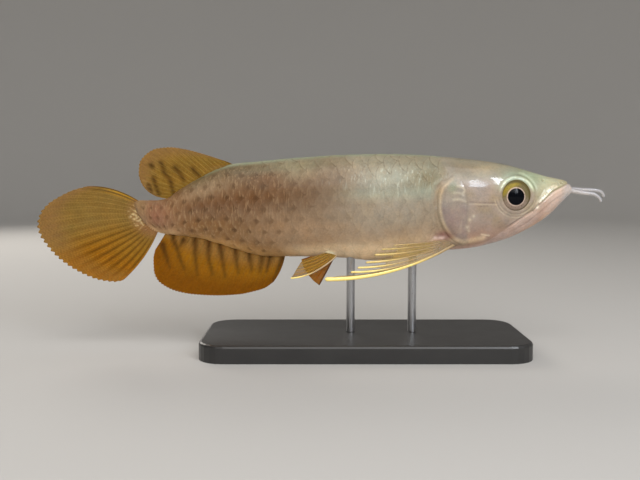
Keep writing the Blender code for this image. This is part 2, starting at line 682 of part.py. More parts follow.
def skin_cutter():
    """The whole body, grown by the gap, to cut back what grows from it."""
    places = np.concatenate([
        [TAIL_END - GAP], stations(TAIL_END, TRUNK_FRONT, TRUNK_STEP),
        stations(TRUNK_FRONT, 108.0, HEAD_STEP)[1:], [110.5, 112.5, 114.0, 115.3, 116.3, 117.0, NOSE],
    ])
    return body_length("skin_cutter", places, grow=GAP)


def sheet(name, columns, thickness, normals):
    """A thin closed sheet through columns of points, with the same triangles on both faces."""
    rows = len(columns[0])
    count = len(columns)
    points = np.array(columns, float)
    offset = np.array(normals, float) * (np.array(thickness, float) / 2)[..., None]
    vertices = list((points + offset).reshape(-1, 3)) + list((points - offset).reshape(-1, 3))
    back = count * rows
    faces = []
    for c in range(count - 1):
        for r in range(rows - 1):
            a, b = c * rows + r, (c + 1) * rows + r
            for triangle in ((a, b, b + 1), (a, b + 1, a + 1)):
                faces.append(triangle)
                faces.append(tuple(back + v for v in triangle[::-1]))
    rim = [c * rows for c in range(count)]
    rim += [(count - 1) * rows + r for r in range(1, rows)]
    rim += [c * rows + rows - 1 for c in range(count - 2, -1, -1)]
    rim += list(range(rows - 2, 0, -1))
    for n, v in enumerate(rim):
        w = rim[(n + 1) % len(rim)]
        faces.append((v, back + v, back + w))
        faces.append((v, back + w, w))
    obj = new_object(name, vertices, faces)
    tidy_normals(obj)
    return obj


def arched(root, tip, bend):
    """Points from root to tip along an arc that bulges by `bend` at its middle."""
    t = np.linspace(0.0, 1.0, RAY_STEPS + 1)[:, None]
    return root + (tip - root) * t + np.array(bend, float) * 4 * t * (1 - t)


def ray_thickness(count):
    """Thickness of each column of a fin at its root: rays on the even ones, membrane between."""
    thick = np.where(np.arange(2 * count - 1) % 2 == 0, RAY_THICKNESS, MEMBRANE)
    thick[0] = LEADING_RAY
    return thick


def fin_sheet(name, columns, normals, cutter, colour):
    """A fin of rays and membrane, cut back to the skin it grows from."""
    columns = np.array(columns)
    taper = np.linspace(1.0, 0.0, RAY_STEPS + 1)
    root = ray_thickness((len(columns) + 1) // 2)[:, None]
    thickness = MEMBRANE + (root - MEMBRANE) * taper**0.7
    fin = sheet(name, columns, thickness, normals(columns))
    combine(fin, cutter, "DIFFERENCE", keep_other=True)
    finish(keep_largest(fin), colour, 0.4)


def fin_columns(roots, tips, bend):
    """Lines of points from sunk roots to the tips, those between two rays stopping a little short."""
    columns = []
    for n, (root, tip) in enumerate(zip(roots, tips)):
        reach = tip - root
        length = np.linalg.norm(reach)
        end = root + reach * (1 - SCALLOP * (n % 2))
        columns.append(arched(root - reach / length * SUNK, end, bend(n, length)))
    return columns


def median_fin(name, root_line, edge_line, count, leans, cutter):
    """An upright fin on the middle plane. Its first and last rays bow by two leans, as (x, z) shares."""
    upright = [[(x, 0.0, z) for x, z in along(line, 2 * count - 1)] for line in (root_line, edge_line)]
    roots, tips = np.array(upright)
    lean = np.linspace(leans[0], leans[1], len(roots))
    columns = fin_columns(roots, tips, lambda n, length: (lean[n, 0] * length, 0.0, lean[n, 1] * length))
    fin_sheet(name, columns, lambda c: np.broadcast_to([0.0, 1.0, 0.0], c.shape), cutter, FIN_SKIN)


def surface_normals(columns):
    """Unit normals of a sheet of points."""
    across, down = np.gradient(columns, axis=0), np.gradient(columns, axis=1)
    normal = np.cross(across, down)
    return normal / np.linalg.norm(normal, axis=2)[..., None]


def between_tips(ray_tips, count):
    """Points through the tips of a fin's rays, with as many between each two."""
    numbers = np.arange(len(ray_tips), dtype=float)
    wanted = np.linspace(0.0, len(ray_tips) - 1.0, count)
    return np.stack([smooth(np.column_stack([numbers, part]), wanted) for part in np.array(ray_tips).T], axis=1)


def paired_fin(name, root_line, ray_tips, bow, sign, colour, cutter):
    """A fin on one flank, from its root line to the tips of its rays. Its leading ray bows by `bow`."""
    count = 2 * len(ray_tips) - 1
    mirror = np.array([1, sign, 1])
    roots, tips = along(root_line, count) * mirror, between_tips(ray_tips, count) * mirror
    share = 1 - np.arange(count) / (count - 1)
    columns = fin_columns(roots, tips, lambda n, length: (0.0, sign * bow * share[n] * 0.5, -bow * share[n]))
    fin_sheet(name, columns, surface_normals, cutter, colour)


def tube(name, route, radii, sign=1, sides=8):
    """A closed round tube along a route of (x, y, z) points on the left side, or mirrored by sign -1."""
    vertices, faces = [], []
    tangents = np.gradient(route, axis=0)
    for point, tangent, radius in zip(route, tangents, radii):
        forward = tangent / np.linalg.norm(tangent)
        across = np.cross(forward, [0.0, 1.0, 0.0])
        across /= np.linalg.norm(across)
        other = np.cross(forward, across)
        for k in range(sides):
            turn = 2 * math.pi * (k + 0.5) / sides
            p = point + radius * (math.cos(turn) * across + math.sin(turn) * other)
            vertices.append((p[0], sign * p[1], p[2]))
    for n in range(len(route) - 1):
        for k in range(sides):
            a, b = n * sides + k, n * sides + (k + 1) % sides
            faces.append((a, b, b + sides, a + sides))
    faces.append(tuple(range(sides)))
    faces.append(tuple(range(len(vertices) - 1, len(vertices) - sides - 1, -1)))
    obj = new_object(name, vertices, faces)
    tidy_normals(obj)
    return obj


def barbel(side, sign, cutter):
    """A tapered feeler that leaves the tip of the lower jaw."""
    route = along(BARBEL_ROUTES[side], 14)
    radii = np.linspace(BARBEL_ROOT_RADIUS, BARBEL_TIP_RADIUS, len(route))
    obj = tube(f"barbel_{side}", route, radii, sign)
    combine(obj, cutter, "DIFFERENCE", keep_other=True)
    finish(keep_largest(obj), BARBEL_SKIN, 0.35)


def stand_base():
    length, width, height = BASE_SIZE
    mesh = bpy.data.meshes.new("stand_base")
    shape = bmesh.new()
    bmesh.ops.create_cube(shape, size=1.0)
    bmesh.ops.scale(shape, verts=shape.verts, vec=Vector(BASE_SIZE) * MM)
    bmesh.ops.translate(shape, verts=shape.verts, vec=Vector((BASE_CENTRE_X, 0.0, height / 2)) * MM)
    upright = [e for e in shape.edges if abs(e.verts[0].co.z - e.verts[1].co.z) > height * MM / 2]
    bmesh.ops.bevel(shape, geom=upright, offset=BASE_CORNER * MM, segments=6, affect="EDGES", profile=0.5)
    top = [e for e in shape.edges if all(v.co.z > height * MM * 0.9 for v in e.verts)]
    rim = [e for e in top if any(abs(f.normal.z) < 0.5 for f in e.link_faces)]
    bmesh.ops.bevel(shape, geom=rim, offset=BASE_BEVEL * MM, segments=2, affect="EDGES", profile=0.5)
    shape.to_mesh(mesh)
    shape.free()
    obj = bpy.data.objects.new("stand_base", mesh)
    bpy.context.scene.collection.objects.link(obj)
    finish(obj, BASE_GREY, 0.5, smooth_angle=30.0)


def stand_rod(place, x, cutter):
    """A rod from the base to the belly, whose notched top holds the keel."""
    bottom = BASE_SIZE[2] + GAP
    top = float(smooth(BELLY_LINE, x)) + ROD_REACH
    mesh = bpy.data.meshes.new(f"stand_rod_{place}")
    shape = bmesh.new()
    bmesh.ops.create_cone(
        shape, cap_ends=True, segments=20, radius1=ROD_RADIUS * MM, radius2=ROD_RADIUS * MM,
        depth=(top - bottom) * MM,
    )
    bmesh.ops.translate(shape, verts=shape.verts, vec=Vector((x, 0.0, (top + bottom) / 2)) * MM)
    shape.to_mesh(mesh)
    shape.free()
    obj = bpy.data.objects.new(f"stand_rod_{place}", mesh)
    bpy.context.scene.collection.objects.link(obj)
    combine(obj, cutter, "DIFFERENCE", keep_other=True)
    finish(keep_largest(obj), STEEL, 0.25, metallic=1.0)


def main():
    for obj in list(bpy.data.objects):
        bpy.data.objects.remove(obj)
    head_pieces()
    trunk_pieces()
    cutter = skin_cutter()
    median_fin("dorsal_fin", DORSAL_ROOT, DORSAL_EDGE, DORSAL_RAYS, DORSAL_LEAN, cutter)
    median_fin("anal_fin", ANAL_ROOT, ANAL_EDGE, ANAL_RAYS, ANAL_LEAN, cutter)
    median_fin("caudal_fin", CAUDAL_ROOT, CAUDAL_EDGE, CAUDAL_RAYS, CAUDAL_LEAN, cutter)
    for side, sign in SIDES.items():
        finish(eye_ball(f"eye_{side}", sign), EYE_BLACK, 0.1)
        barbel(side, sign, cutter)
        paired_fin(
            f"pectoral_fin_{side}", PECTORAL_ROOT, PECTORAL_TIPS[side], PECTORAL_BOW[side], sign, CREAM_FIN, cutter
        )
        paired_fin(f"pelvic_fin_{side}", PELVIC_ROOT, PELVIC_TIPS[side], 0.0, sign, FIN_SKIN, cutter)
    stand_base()
    for place, x in ROD_AT.items():
        stand_rod(place, x, cutter)
    bpy.data.objects.remove(cutter)


main()
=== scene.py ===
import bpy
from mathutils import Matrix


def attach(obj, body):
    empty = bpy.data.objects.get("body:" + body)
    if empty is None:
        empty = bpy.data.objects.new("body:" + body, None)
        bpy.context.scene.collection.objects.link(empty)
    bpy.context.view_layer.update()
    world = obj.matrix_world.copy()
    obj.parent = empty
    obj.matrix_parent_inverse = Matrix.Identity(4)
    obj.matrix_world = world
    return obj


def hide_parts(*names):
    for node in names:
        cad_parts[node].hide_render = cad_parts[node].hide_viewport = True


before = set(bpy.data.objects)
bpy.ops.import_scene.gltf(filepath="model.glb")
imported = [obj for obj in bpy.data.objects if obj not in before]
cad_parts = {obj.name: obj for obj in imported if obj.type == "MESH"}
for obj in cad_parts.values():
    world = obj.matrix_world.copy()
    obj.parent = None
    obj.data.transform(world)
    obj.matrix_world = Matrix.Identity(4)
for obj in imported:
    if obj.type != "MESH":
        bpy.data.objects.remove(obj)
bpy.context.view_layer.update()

import math

import bpy
import numpy as np
from mathutils import Vector

# The fish's skin: one wet, pearly hide from the lips to the root of the tail fin, with no seam. It is
# drawn from the outline of the body, seen from the side, and its width, station by station. The head's
# features are pressed into it: the eye's socket and folds, the mouth, the jaw bone and the gill cover.
MM = 0.001
BACK_LINE = [
    (-88.0, 70.3), (-80.0, 70.3), (-72.0, 71.0), (-67.0, 74.6), (-60.5, 78.5), (-52.5, 82.8),
    (-46.4, 85.6), (-40.3, 87.3), (-29.0, 88.4), (-9.0, 90.2), (16.0, 91.6), (32.0, 91.8),
    (47.0, 91.3), (60.0, 90.3), (70.0, 89.3), (79.0, 88.2), (88.0, 86.4), (97.0, 83.8),
    (106.0, 81.2), (111.0, 80.2), (113.3, 79.6), (115.0, 78.2), (116.6, 76.8), (117.3, 75.2),
]
BELLY_LINE = [
    (-88.0, 55.4), (-80.0, 54.4), (-74.6, 54.2), (-64.7, 53.6), (-56.7, 52.3), (-46.9, 49.6),
    (-38.9, 47.0), (-31.4, 44.9), (-24.0, 43.9), (-14.5, 43.9), (-4.0, 43.9), (6.0, 43.6),
    (14.0, 42.8), (24.0, 42.1), (37.0, 42.6), (50.0, 45.2), (59.0, 46.9), (66.0, 47.4),
    (72.0, 48.2), (79.3, 49.9), (88.2, 52.7), (97.0, 57.0), (102.0, 60.0), (106.5, 63.4),
    (112.0, 69.0), (115.4, 72.4), (116.8, 73.8), (117.3, 75.0),
]
HALF_WIDTH = [
    (-88.0, 1.5), (-84.0, 2.3), (-78.0, 3.1), (-70.0, 4.3), (-60.0, 5.9), (-45.0, 8.2),
    (-30.0, 10.1), (-15.0, 11.5), (0.0, 12.3), (20.0, 12.9), (40.0, 13.0), (56.0, 12.8),
    (66.0, 12.5), (76.0, 11.6), (84.0, 10.5), (91.0, 9.6), (97.0, 8.5), (103.0, 7.2),
    (108.0, 6.1), (112.0, 5.0), (114.5, 3.9), (116.3, 2.5), (117.1, 1.2), (117.3, 0.5),
]
WIDEST_AT = [(-88.0, 0.5), (-60.0, 0.52), (-20.0, 0.58), (40.0, 0.6), (70.0, 0.56), (117.3, 0.52)]
BACK_ROUNDNESS = [(-88.0, 2.0), (-50.0, 2.0), (0.0, 2.15), (60.0, 2.3), (90.0, 2.6), (117.3, 2.2)]
BELLY_ROUNDNESS = [(-88.0, 1.9), (-50.0, 1.75), (20.0, 1.65), (60.0, 1.7), (90.0, 1.8), (117.3, 2.2)]
TAIL_END, TAIL_SWEEP, TAIL_SWEEP_FROM = -86.0, 9.5, -68.0
LATERAL_LINE = [(-88.0, 0.5), (-40.0, 0.48), (10.0, 0.5), (60.0, 0.56)]
GILL_LINE = [
    (62.4, 96.0), (61.0, 88.9), (59.7, 83.5), (56.7, 79.6), (54.1, 77.0), (52.6, 73.3),
    (52.4, 68.9), (53.0, 64.5), (54.4, 60.1), (56.7, 56.2), (59.5, 53.1), (62.1, 51.2),
    (65.0, 49.6), (68.0, 40.0),
]
SHOULDER_LINE = [(59.5, 81.6), (55.0, 79.4), (51.3, 75.9), (49.9, 73.0)]
COVER_FRONT = [
    (61.6, 83.6), (63.2, 80.6), (64.9, 75.8), (66.0, 70.1), (66.2, 64.0), (66.6, 57.0), (66.8, 53.4),
]
THROAT_BAND = [(58.6, 54.2), (61.7, 52.2), (66.5, 51.4), (70.8, 52.3), (75.0, 53.2)]
GILL_RIBS = [
    [(61.7, 77.1), (63.6, 76.6), (65.0, 75.0), (64.3, 74.2)],
    [(60.1, 74.1), (63.0, 73.8), (64.4, 72.9)],
    [(59.8, 71.0), (62.6, 71.2), (65.3, 70.1)],
    [(63.8, 60.9), (63.9, 56.0)],
]
GILL_BEADS = [((67.7, 61.7), 0.9), ((66.8, 58.3), 1.0), ((67.8, 56.6), 0.7), ((69.4, 63.4), 0.7)]
MOUTH_LINE = [
    (120.0, 79.4), (113.4, 77.7), (110.7, 76.3), (107.2, 74.6), (103.4, 71.4), (100.3, 69.0),
    (97.1, 65.8), (93.2, 63.2), (88.0, 59.6), (84.0, 56.5),
]
JAW_BONE = [(108.2, 77.0), (105.6, 75.8), (102.1, 72.2), (99.5, 69.0), (97.7, 66.8)]
JAW_FOLD = [(112.0, 73.7), (106.2, 69.7), (100.3, 64.5), (94.5, 60.0), (87.3, 55.8)]
CHEEK_SEAMS = [
    [(67.4, 70.0), (72.6, 69.6), (79.6, 69.4)],
    [(71.3, 68.1), (75.9, 68.1)],
]
CHEEK_LINE = [(67.4, 69.0), (75.9, 68.7), (79.6, 68.8)]
THROAT_CREASE = [(73.9, 54.9), (77.6, 54.2)]
EYE_AT = (89.1, 73.0)
EYE_RIDGE, EYE_FOLDS = 7.9, [(8.5, 0.26), (9.8, 0.28), (11.0, 0.3)]
LIP_KNOB = (115.4, 74.6)
NOSTRILS = [((110.9, 78.3), 0.4), ((102.0, 79.5), 0.5)]


def smooth(points, at):
    """The value at `at` of a smooth curve through (x, value) points, with no overshoot."""
    x, y = np.array(points, float).T
    step = np.diff(x)
    slope = np.diff(y) / step
    before, after = slope[:-1], slope[1:]
    turning = before * after <= 0
    weight_before, weight_after = step[:-1] + 2 * step[1:], 2 * step[:-1] + step[1:]
    mean = (weight_before + weight_after) / (
        weight_before / np.where(turning, 1.0, before) + weight_after / np.where(turning, 1.0, after)
    )
    tangent = np.concatenate([slope[:1], np.where(turning, 0.0, mean), slope[-1:]])
    at = np.clip(at, x[0], x[-1])
    i = np.clip(np.searchsorted(x, at) - 1, 0, len(step) - 1)
    t = (at - x[i]) / step[i]
    return (
        (2 * t**3 - 3 * t**2 + 1) * y[i]
        + (t**3 - 2 * t**2 + t) * step[i] * tangent[i]
        + (3 * t**2 - 2 * t**3) * y[i + 1]
        + (t**3 - t**2) * step[i] * tangent[i + 1]
    )


def ease(share):
    share = np.clip(share, 0.0, 1.0)
    return share * share * (3 - 2 * share)


def bump(distance, width):
    """A rounded ridge, 1 on its crest."""
    return np.exp(-((distance / width) ** 2))


STATIONS = np.concatenate([np.linspace(-88.0, 108.0, 393), np.linspace(108.1, 117.3, 93)])
SHARES = np.linspace(0.0, 1.0, 161)


def body_tables():
    """The left flank's y and z at every station and share of the way up it, and the way's length."""
    across, heights, girths = [], [], []
    angle = np.linspace(-math.pi / 2, math.pi / 2, 181)
    upper = angle >= 0
    for x in STATIONS:
        back, belly = smooth(BACK_LINE, x), smooth(BELLY_LINE, x)
        middle = belly + smooth(WIDEST_AT, x) * (back - belly)
        power = np.where(upper, 2 / smooth(BACK_ROUNDNESS, x), 2 / smooth(BELLY_ROUNDNESS, x))
        reach = np.where(upper, back - middle, middle - belly)
        narrowing = 1 - 0.72 * ease((-80.0 - x) / 7.6)
        y = smooth(HALF_WIDTH, x) * np.abs(np.cos(angle)) ** power * narrowing
        z = middle + reach * np.sign(angle) * np.abs(np.sin(angle)) ** power
        run = np.concatenate([[0.0], np.cumsum(np.hypot(np.diff(y), np.diff(z)))])
        across.append(np.interp(SHARES * run[-1], run, y))
        heights.append(np.interp(SHARES * run[-1], run, z))
        girths.append(run[-1])
    return np.array(across), np.array(heights), np.array(girths)


BODY_Y, BODY_Z, GIRTH = body_tables()


def girth(x):
    return np.interp(x, STATIONS, GIRTH)


def body_point(x, share):
    """Points of the body at x and a share of the way up the left flank, for arrays of both."""
    x, share = np.broadcast_arrays(np.asarray(x, float), np.asarray(share, float))
    x = np.clip(x, STATIONS[0], STATIONS[-1])
    share = np.clip(share, 0.0, 1.0)
    i = np.clip(np.searchsorted(STATIONS, x) - 1, 0, len(STATIONS) - 2)
    a = (x - STATIONS[i]) / (STATIONS[i + 1] - STATIONS[i])
    at = share * (len(SHARES) - 1)
    j = np.clip(at.astype(int), 0, len(SHARES) - 2)
    b = at - j
    weights = ((1 - a) * (1 - b), (1 - a) * b, a * (1 - b), a * b)
    corners = ((i, j), (i, j + 1), (i + 1, j), (i + 1, j + 1))
    y = sum(w * BODY_Y[c] for w, c in zip(weights, corners))
    z = sum(w * BODY_Z[c] for w, c in zip(weights, corners))
    back, belly = smooth(BACK_LINE, x), smooth(BELLY_LINE, x)
    below_top = (back - z) / (back - belly)
    fade = ease((TAIL_SWEEP_FROM - x) / (TAIL_SWEEP_FROM - TAIL_END))
    return np.stack([x + TAIL_SWEEP * below_top**2 * fade, y, z], axis=-1)


def body_normal(x, share):
    """Outward directions there."""
    along_body = body_point(x + 0.4, share) - body_point(x - 0.4, share)
    low, high = np.clip(share - 0.006, 0.0, 1.0), np.clip(share + 0.006, 0.0, 1.0)
    up_body = body_point(x, high) - body_point(x, low)
    normal = np.cross(up_body, along_body)
    normal[..., 1] = np.where((share <= 0.0) | (share >= 1.0), 0.0, np.abs(normal[..., 1]))
    length = np.linalg.norm(normal, axis=-1, keepdims=True)
    return normal / np.maximum(length, 1e-9)


def curve_through(points, count):
    """Evenly spaced points along a smooth curve through points of any dimension."""
    points = np.array(points, float)
    knots = np.concatenate([[0.0], np.cumsum(np.linalg.norm(np.diff(points, axis=0), axis=1))])
    fine = np.linspace(0.0, knots[-1], 30 * len(points))
    curve = np.stack([smooth(np.column_stack([knots, part]), fine) for part in points.T], axis=1)
    run = np.concatenate([[0.0], np.cumsum(np.linalg.norm(np.diff(curve, axis=0), axis=1))])
    wanted = np.linspace(0.0, run[-1], count)
    return np.stack([np.interp(wanted, run, part) for part in curve.T], axis=1)


def from_line(x, z, points, count=24):
    """Distance from a smooth line in the side view, above 0 on its left, and the share along it."""
    line = curve_through(points, count)
    best = np.full(np.shape(x), 1e9)
    side, share = np.ones(np.shape(x)), np.zeros(np.shape(x))
    for n, (a, b) in enumerate(zip(line[:-1], line[1:])):
        edge = b - a
        t = np.clip(((x - a[0]) * edge[0] + (z - a[1]) * edge[1]) / (edge @ edge), 0.0, 1.0)
        off_x, off_z = x - a[0] - t * edge[0], z - a[1] - t * edge[1]
        distance = np.hypot(off_x, off_z)
        closer = distance < best
        side = np.where(closer, np.sign(edge[0] * off_z - edge[1] * off_x), side)
        share = np.where(closer, (n + t) / (len(line) - 1), share)
        best = np.where(closer, distance, best)
    return best * side, share


def near_line(x, z, points, width):
    """A mark along a line, 1 on it."""
    return bump(from_line(x, z, points)[0], width)


def near_spot(x, z, middle, reach):
    """A round mark, or an oval one where `reach` is a pair, 1 in its middle."""
    wide, high = np.broadcast_to(reach, 2)
    return bump(np.hypot((x - middle[0]) / wide, (z - middle[1]) / high), 1.0)


def head_relief(x, z):
    """How far the head's features stand out of its plain form, in the side view."""
    below_nape = ease((81.5 - z) / 5.0)
    above_keel = ease((z - smooth(BELLY_LINE, x) - 1.0) / 4.5)
    ahead, _ = from_line(x, z, GILL_LINE, 40)
    rim = 0.36 * ease((14.0 - ahead) / 13.0) + 0.07 * bump(ahead - 1.7, 0.9)
    cover = np.where(ahead > 0, rim * ease(ahead / 1.3 + 0.2), -0.14 * bump(ahead, 0.8))
    relief = below_nape * above_keel * cover
    relief -= 0.09 * near_line(x, z, SHOULDER_LINE, 0.5)
    relief -= 0.09 * near_line(x, z, COVER_FRONT, 0.5) * below_nape
    relief += 0.1 * near_line(x, z, THROAT_BAND, 1.1) * above_keel
    for rib in GILL_RIBS:
        relief += 0.06 * near_line(x, z, rib, 0.5)
    for bead, radius in GILL_BEADS:
        relief += 0.1 * near_spot(x, z, bead, radius)

    across, up = x - EYE_AT[0], z - EYE_AT[1]
    r = np.hypot(across, up)
    under = ease((-up - 0.5) / 3.0)
    relief -= 3.0 * ease((6.8 - r) / 1.1)
    relief += 0.42 * bump(r - EYE_RIDGE, 1.0) * (1 - 0.4 * under)
    relief -= 0.05 * bump(r - 9.2, 0.5) * (1 - 0.5 * under)
    relief += 0.05 * bump(r - 10.2, 0.8) * (1 - under) * ease((across + 2.0) / 5.0)
    relief -= 0.07 * under * sum(bump(r - fold, width) for fold, width in EYE_FOLDS)

    below, share = from_line(x, z, MOUTH_LINE, 40)
    gape = ease((1.0 - share) / 0.12)
    relief -= 0.26 * bump(below, 0.34) * gape
    relief += (0.2 * bump(below - 0.9, 0.55) + 0.24 * bump(below + 0.9, 0.5)) * gape
    bone, share = from_line(x, z, JAW_BONE)
    relief += 0.36 * ease((1.6 - np.abs(bone)) / 0.9)
    fold, share = from_line(x, z, JAW_FOLD)
    relief -= 0.12 * bump(fold, 0.32) * ease(share / 0.15) * ease((1 - share) / 0.15)
    for seam in CHEEK_SEAMS:
        relief -= 0.06 * near_line(x, z, seam, 0.26)
    relief += 0.06 * near_line(x, z, CHEEK_LINE, 0.3)
    relief += 0.08 * near_line(x, z, THROAT_CREASE, 0.45)
    relief += 0.35 * near_spot(x, z, LIP_KNOB, 1.5)
    for nostril, radius in NOSTRILS:
        distance = np.hypot(x - nostril[0], z - nostril[1])
        relief += 0.2 * bump(distance - 1.6 * radius, 0.3) - 0.7 * bump(distance, radius)
    return relief


def colour(red, green, blue):
    """A linear colour from the values that a painter would pick on a screen."""
    screen = np.array([red, green, blue]) / 255
    return np.where(screen > 0.04045, ((screen + 0.055) / 1.055) ** 2.4, screen / 12.92)


# The hide's paints, as they look in soft light.
FLANK = colour(144, 131, 113)
BACK, BACK_SHEEN, BACK_GREEN, BACK_GREY = (
    colour(138, 130, 108), colour(172, 162, 136), colour(156, 152, 122), colour(138, 130, 106),
)
RIDGE, SHOULDER_BROWN = colour(138, 148, 122), colour(118, 100, 82)
NAPE_OLIVE, NAPE_DARK = colour(130, 122, 98), colour(106, 96, 68)
SHIMMER, SHIMMER_GREEN, SHIMMER_MINT = colour(150, 158, 146), colour(136, 144, 114), colour(152, 166, 146)
FLANK_TAN, FLANK_SILVER = colour(134, 116, 94), colour(160, 148, 130)
LOW_FLANK, BELLY = colour(164, 141, 116), colour(230, 200, 162)
# The second and third of these are painted light, for the breast and the rear keel, which face down, away
# from the lamps.
BREAST, BREAST_PAINTED_LIGHT, KEEL_PAINTED_LIGHT = colour(214, 182, 142), colour(250, 222, 182), colour(206, 160, 100)
WAIST_BROWN = colour(104, 84, 64)
REAR_BACK, REAR, REAR_LOW = colour(96, 82, 54), colour(100, 67, 36), colour(130, 94, 56)
REAR_RUST, REAR_DARK, REAR_SHEEN = colour(88, 52, 20), colour(80, 64, 40), colour(156, 134, 106)
STALK, STALK_PINK = colour(122, 90, 60), colour(146, 96, 78)
# The first of these is painted light for the end of the stalk.
STALK_END_PAINTED_LIGHT, STALK_KEEL = colour(150, 122, 84), colour(206, 166, 118)
CHEEK, CHEEK_PINK, CHEEK_OLIVE = colour(152, 136, 122), colour(168, 136, 118), colour(146, 130, 104)
CROWN, CROWN_BROWN, CROWN_SHEEN = colour(133, 127, 108), colour(102, 82, 56), colour(166, 148, 114)
# The second of these is a painted highlight.
MINT, MINT_PAINTED_HIGHLIGHT, SNOUT = colour(152, 165, 135), colour(214, 224, 196), colour(174, 168, 138)
COVER, COVER_MAUVE = colour(150, 138, 124), colour(142, 122, 114)
RIM, RIM_LIGHT = colour(144, 126, 102), colour(192, 172, 144)
# The first of these is the throat's pale pink, brightened with painted light.
THROAT_PINK_AND_PAINTED_LIGHT, THROAT_PALE = colour(226, 188, 168), colour(216, 190, 158)
JAW, JAW_EDGE, JAW_TIP = colour(188, 160, 146), colour(192, 157, 133), colour(202, 181, 168)
LIP, CHIN = colour(206, 182, 164), colour(186, 176, 171)
# The first of these is painted shade for the head's grooves, folds, pits and eye socket; the second is the
# cream of the gill ribs and beads, also used for painted highlights on ridges.
GROOVE_SHADE, CREAM_AND_HIGHLIGHT = colour(96, 76, 62), colour(238, 222, 190)
# The second of these is a painted highlight.
AXIL, PINK_PAINTED_HIGHLIGHT = colour(136, 100, 90), colour(236, 210, 204)
# The first of these is the jaw bone's white, also used for the painted sparkle highlights on it.
BONE_WHITE_AND_SPARKLE, AXIL_SCALE = colour(255, 246, 226), colour(255, 242, 204)

# Soft patches on the flanks: the paint and its strength, the share of the way up and its spread, and the
# station and its spread.
SHOULDER_PATCHES = [
    (BACK_SHEEN, 0.5, 0.84, 0.11, 2.0, 18.0),
    (SHOULDER_BROWN, 0.8, 0.68, 0.12, 9.0, 16.0),
    (NAPE_OLIVE, 0.6, 0.72, 0.13, 50.0, 11.0),
]
SHIMMER_PATCHES = [
    (FLANK_TAN, 0.35, 0.72, 0.11, 14.0, 9.0),
    (SHIMMER_GREEN, 0.35, 0.68, 0.1, 50.0, 9.0),
    (NAPE_DARK, 0.9, 0.7, 0.09, 48.0, 10.0),
    (SHIMMER_MINT, 0.5, 0.585, 0.05, 34.0, 24.0),
    (FLANK_SILVER, 0.5, 0.5, 0.14, 32.0, 16.0),
]
WAIST_PATCHES = [
    (LOW_FLANK, 0.55, 0.28, 0.17, -12.0, 20.0),
    (WAIST_BROWN, 0.5, 0.55, 0.16, -10.0, 16.0),
    (REAR_RUST, 0.62, 0.5, 0.22, -50.0, 30.0),
]
REAR_PATCHES = [
    (REAR_DARK, 0.68, 0.83, 0.12, -43.0, 15.0),
    (REAR_SHEEN, 0.55, 0.74, 0.13, -56.0, 18.0),
    (BACK_GREEN, 0.4, 0.8, 0.09, -10.0, 9.0),
]
AXIL_SCALE_LINE = [(1.4, 46.9), (3.8, 46.2), (5.8, 45.4)]


def uneven(x, z, size):
    """Soft blotches about `size` across, from 0 to 1."""
    a = np.sin(x / size * 2.9 + 1.7 * np.sin(z / size * 1.9 + 0.6))
    b = np.sin(z / size * 3.3 + 1.9 * np.sin(x / size * 2.3 + 2.1))
    c = np.sin((x + z) / size * 5.3 + 1.3 * np.sin((x - z) / size * 3.1))
    return np.clip(0.5 + 0.22 * (a + b) + 0.14 * c, 0.0, 1.0)


def paint_flanks(lay, x, share, px, pz):
    """Silver-olive in front, brown behind, pale below, with a pearly shimmer behind the head, and painted
    light on the breast, along the rear keel and at the end of the stalk, where they turn away from the lamps.
    """

    def lay_patches(patches):
        for paint, strength, middle, spread, station, reach in patches:
            lay(paint, strength * bump(share - middle, spread) * bump(x - station, reach))

    rearward = ease((22.0 - x) / 38.0)
    front = 1 - rearward
    lay(BACK, front * ease((share - 0.66) / 0.16))
    lay_patches(SHOULDER_PATCHES)
    lay(LOW_FLANK, front * ease((0.42 - share) / 0.2))
    lay(BELLY, front * ease((0.27 - share) / 0.2))
    band = bump(share - 0.7 - 0.0006 * (x - 30.0), 0.085)
    lay(SHIMMER, 0.7 * band * bump(x - 34.0, 23.0))
    lay_patches(SHIMMER_PATCHES)
    lay(REAR, rearward * ease((share - 0.3) / 0.3))
    lay(REAR_LOW, rearward * ease((0.56 - share) / 0.26))
    lay(REAR_BACK, rearward * ease((share - 0.76) / 0.1))
    lay(BELLY, 0.9 * ease((0.22 - share) / 0.14) * ease((x + 24.0) / 18.0))
    lay_patches(WAIST_PATCHES)
    # Golden painted light along the lower edge of the rear body, where it curves under, away from the lamps.
    lay(KEEL_PAINTED_LIGHT, 0.75 * ease((0.17 - share) / 0.14) * bump(x + 46.0, 32.0))
    lay(BREAST, 0.5 * near_spot(px, pz, (42.0, 51.0), (10.0, 3.5)))
    # Painted light on the lower breast, which faces down, away from the lamps.
    lay(BREAST_PAINTED_LIGHT, 0.8 * near_spot(px, pz, (42.0, 46.8), (13.0, 3.2)))
    lay(BACK_GREY, 0.6 * ease((share - 0.78) / 0.1) * bump(x + 16.0, 22.0))
    lay_patches(REAR_PATCHES)
    lay(STALK, ease((-56.0 - x) / 14.0))
    # Painted light on the end of the stalk, whose surface turns back, away from the lamps.
    lay(STALK_END_PAINTED_LIGHT, 0.6 * ease((-80.5 - x) / 3.0))
    lay(STALK_PINK, 0.5 * near_spot(px, pz, (-77.0, 63.0), (6.5, 6.0)))
    lay(STALK_KEEL, 0.6 * ease((0.3 - share) / 0.22) * ease((-62.0 - x) / 8.0))
    lay(RIDGE, 0.75 * ease((share - 0.9) / 0.06) * ease((x + 62.0) / 20.0))


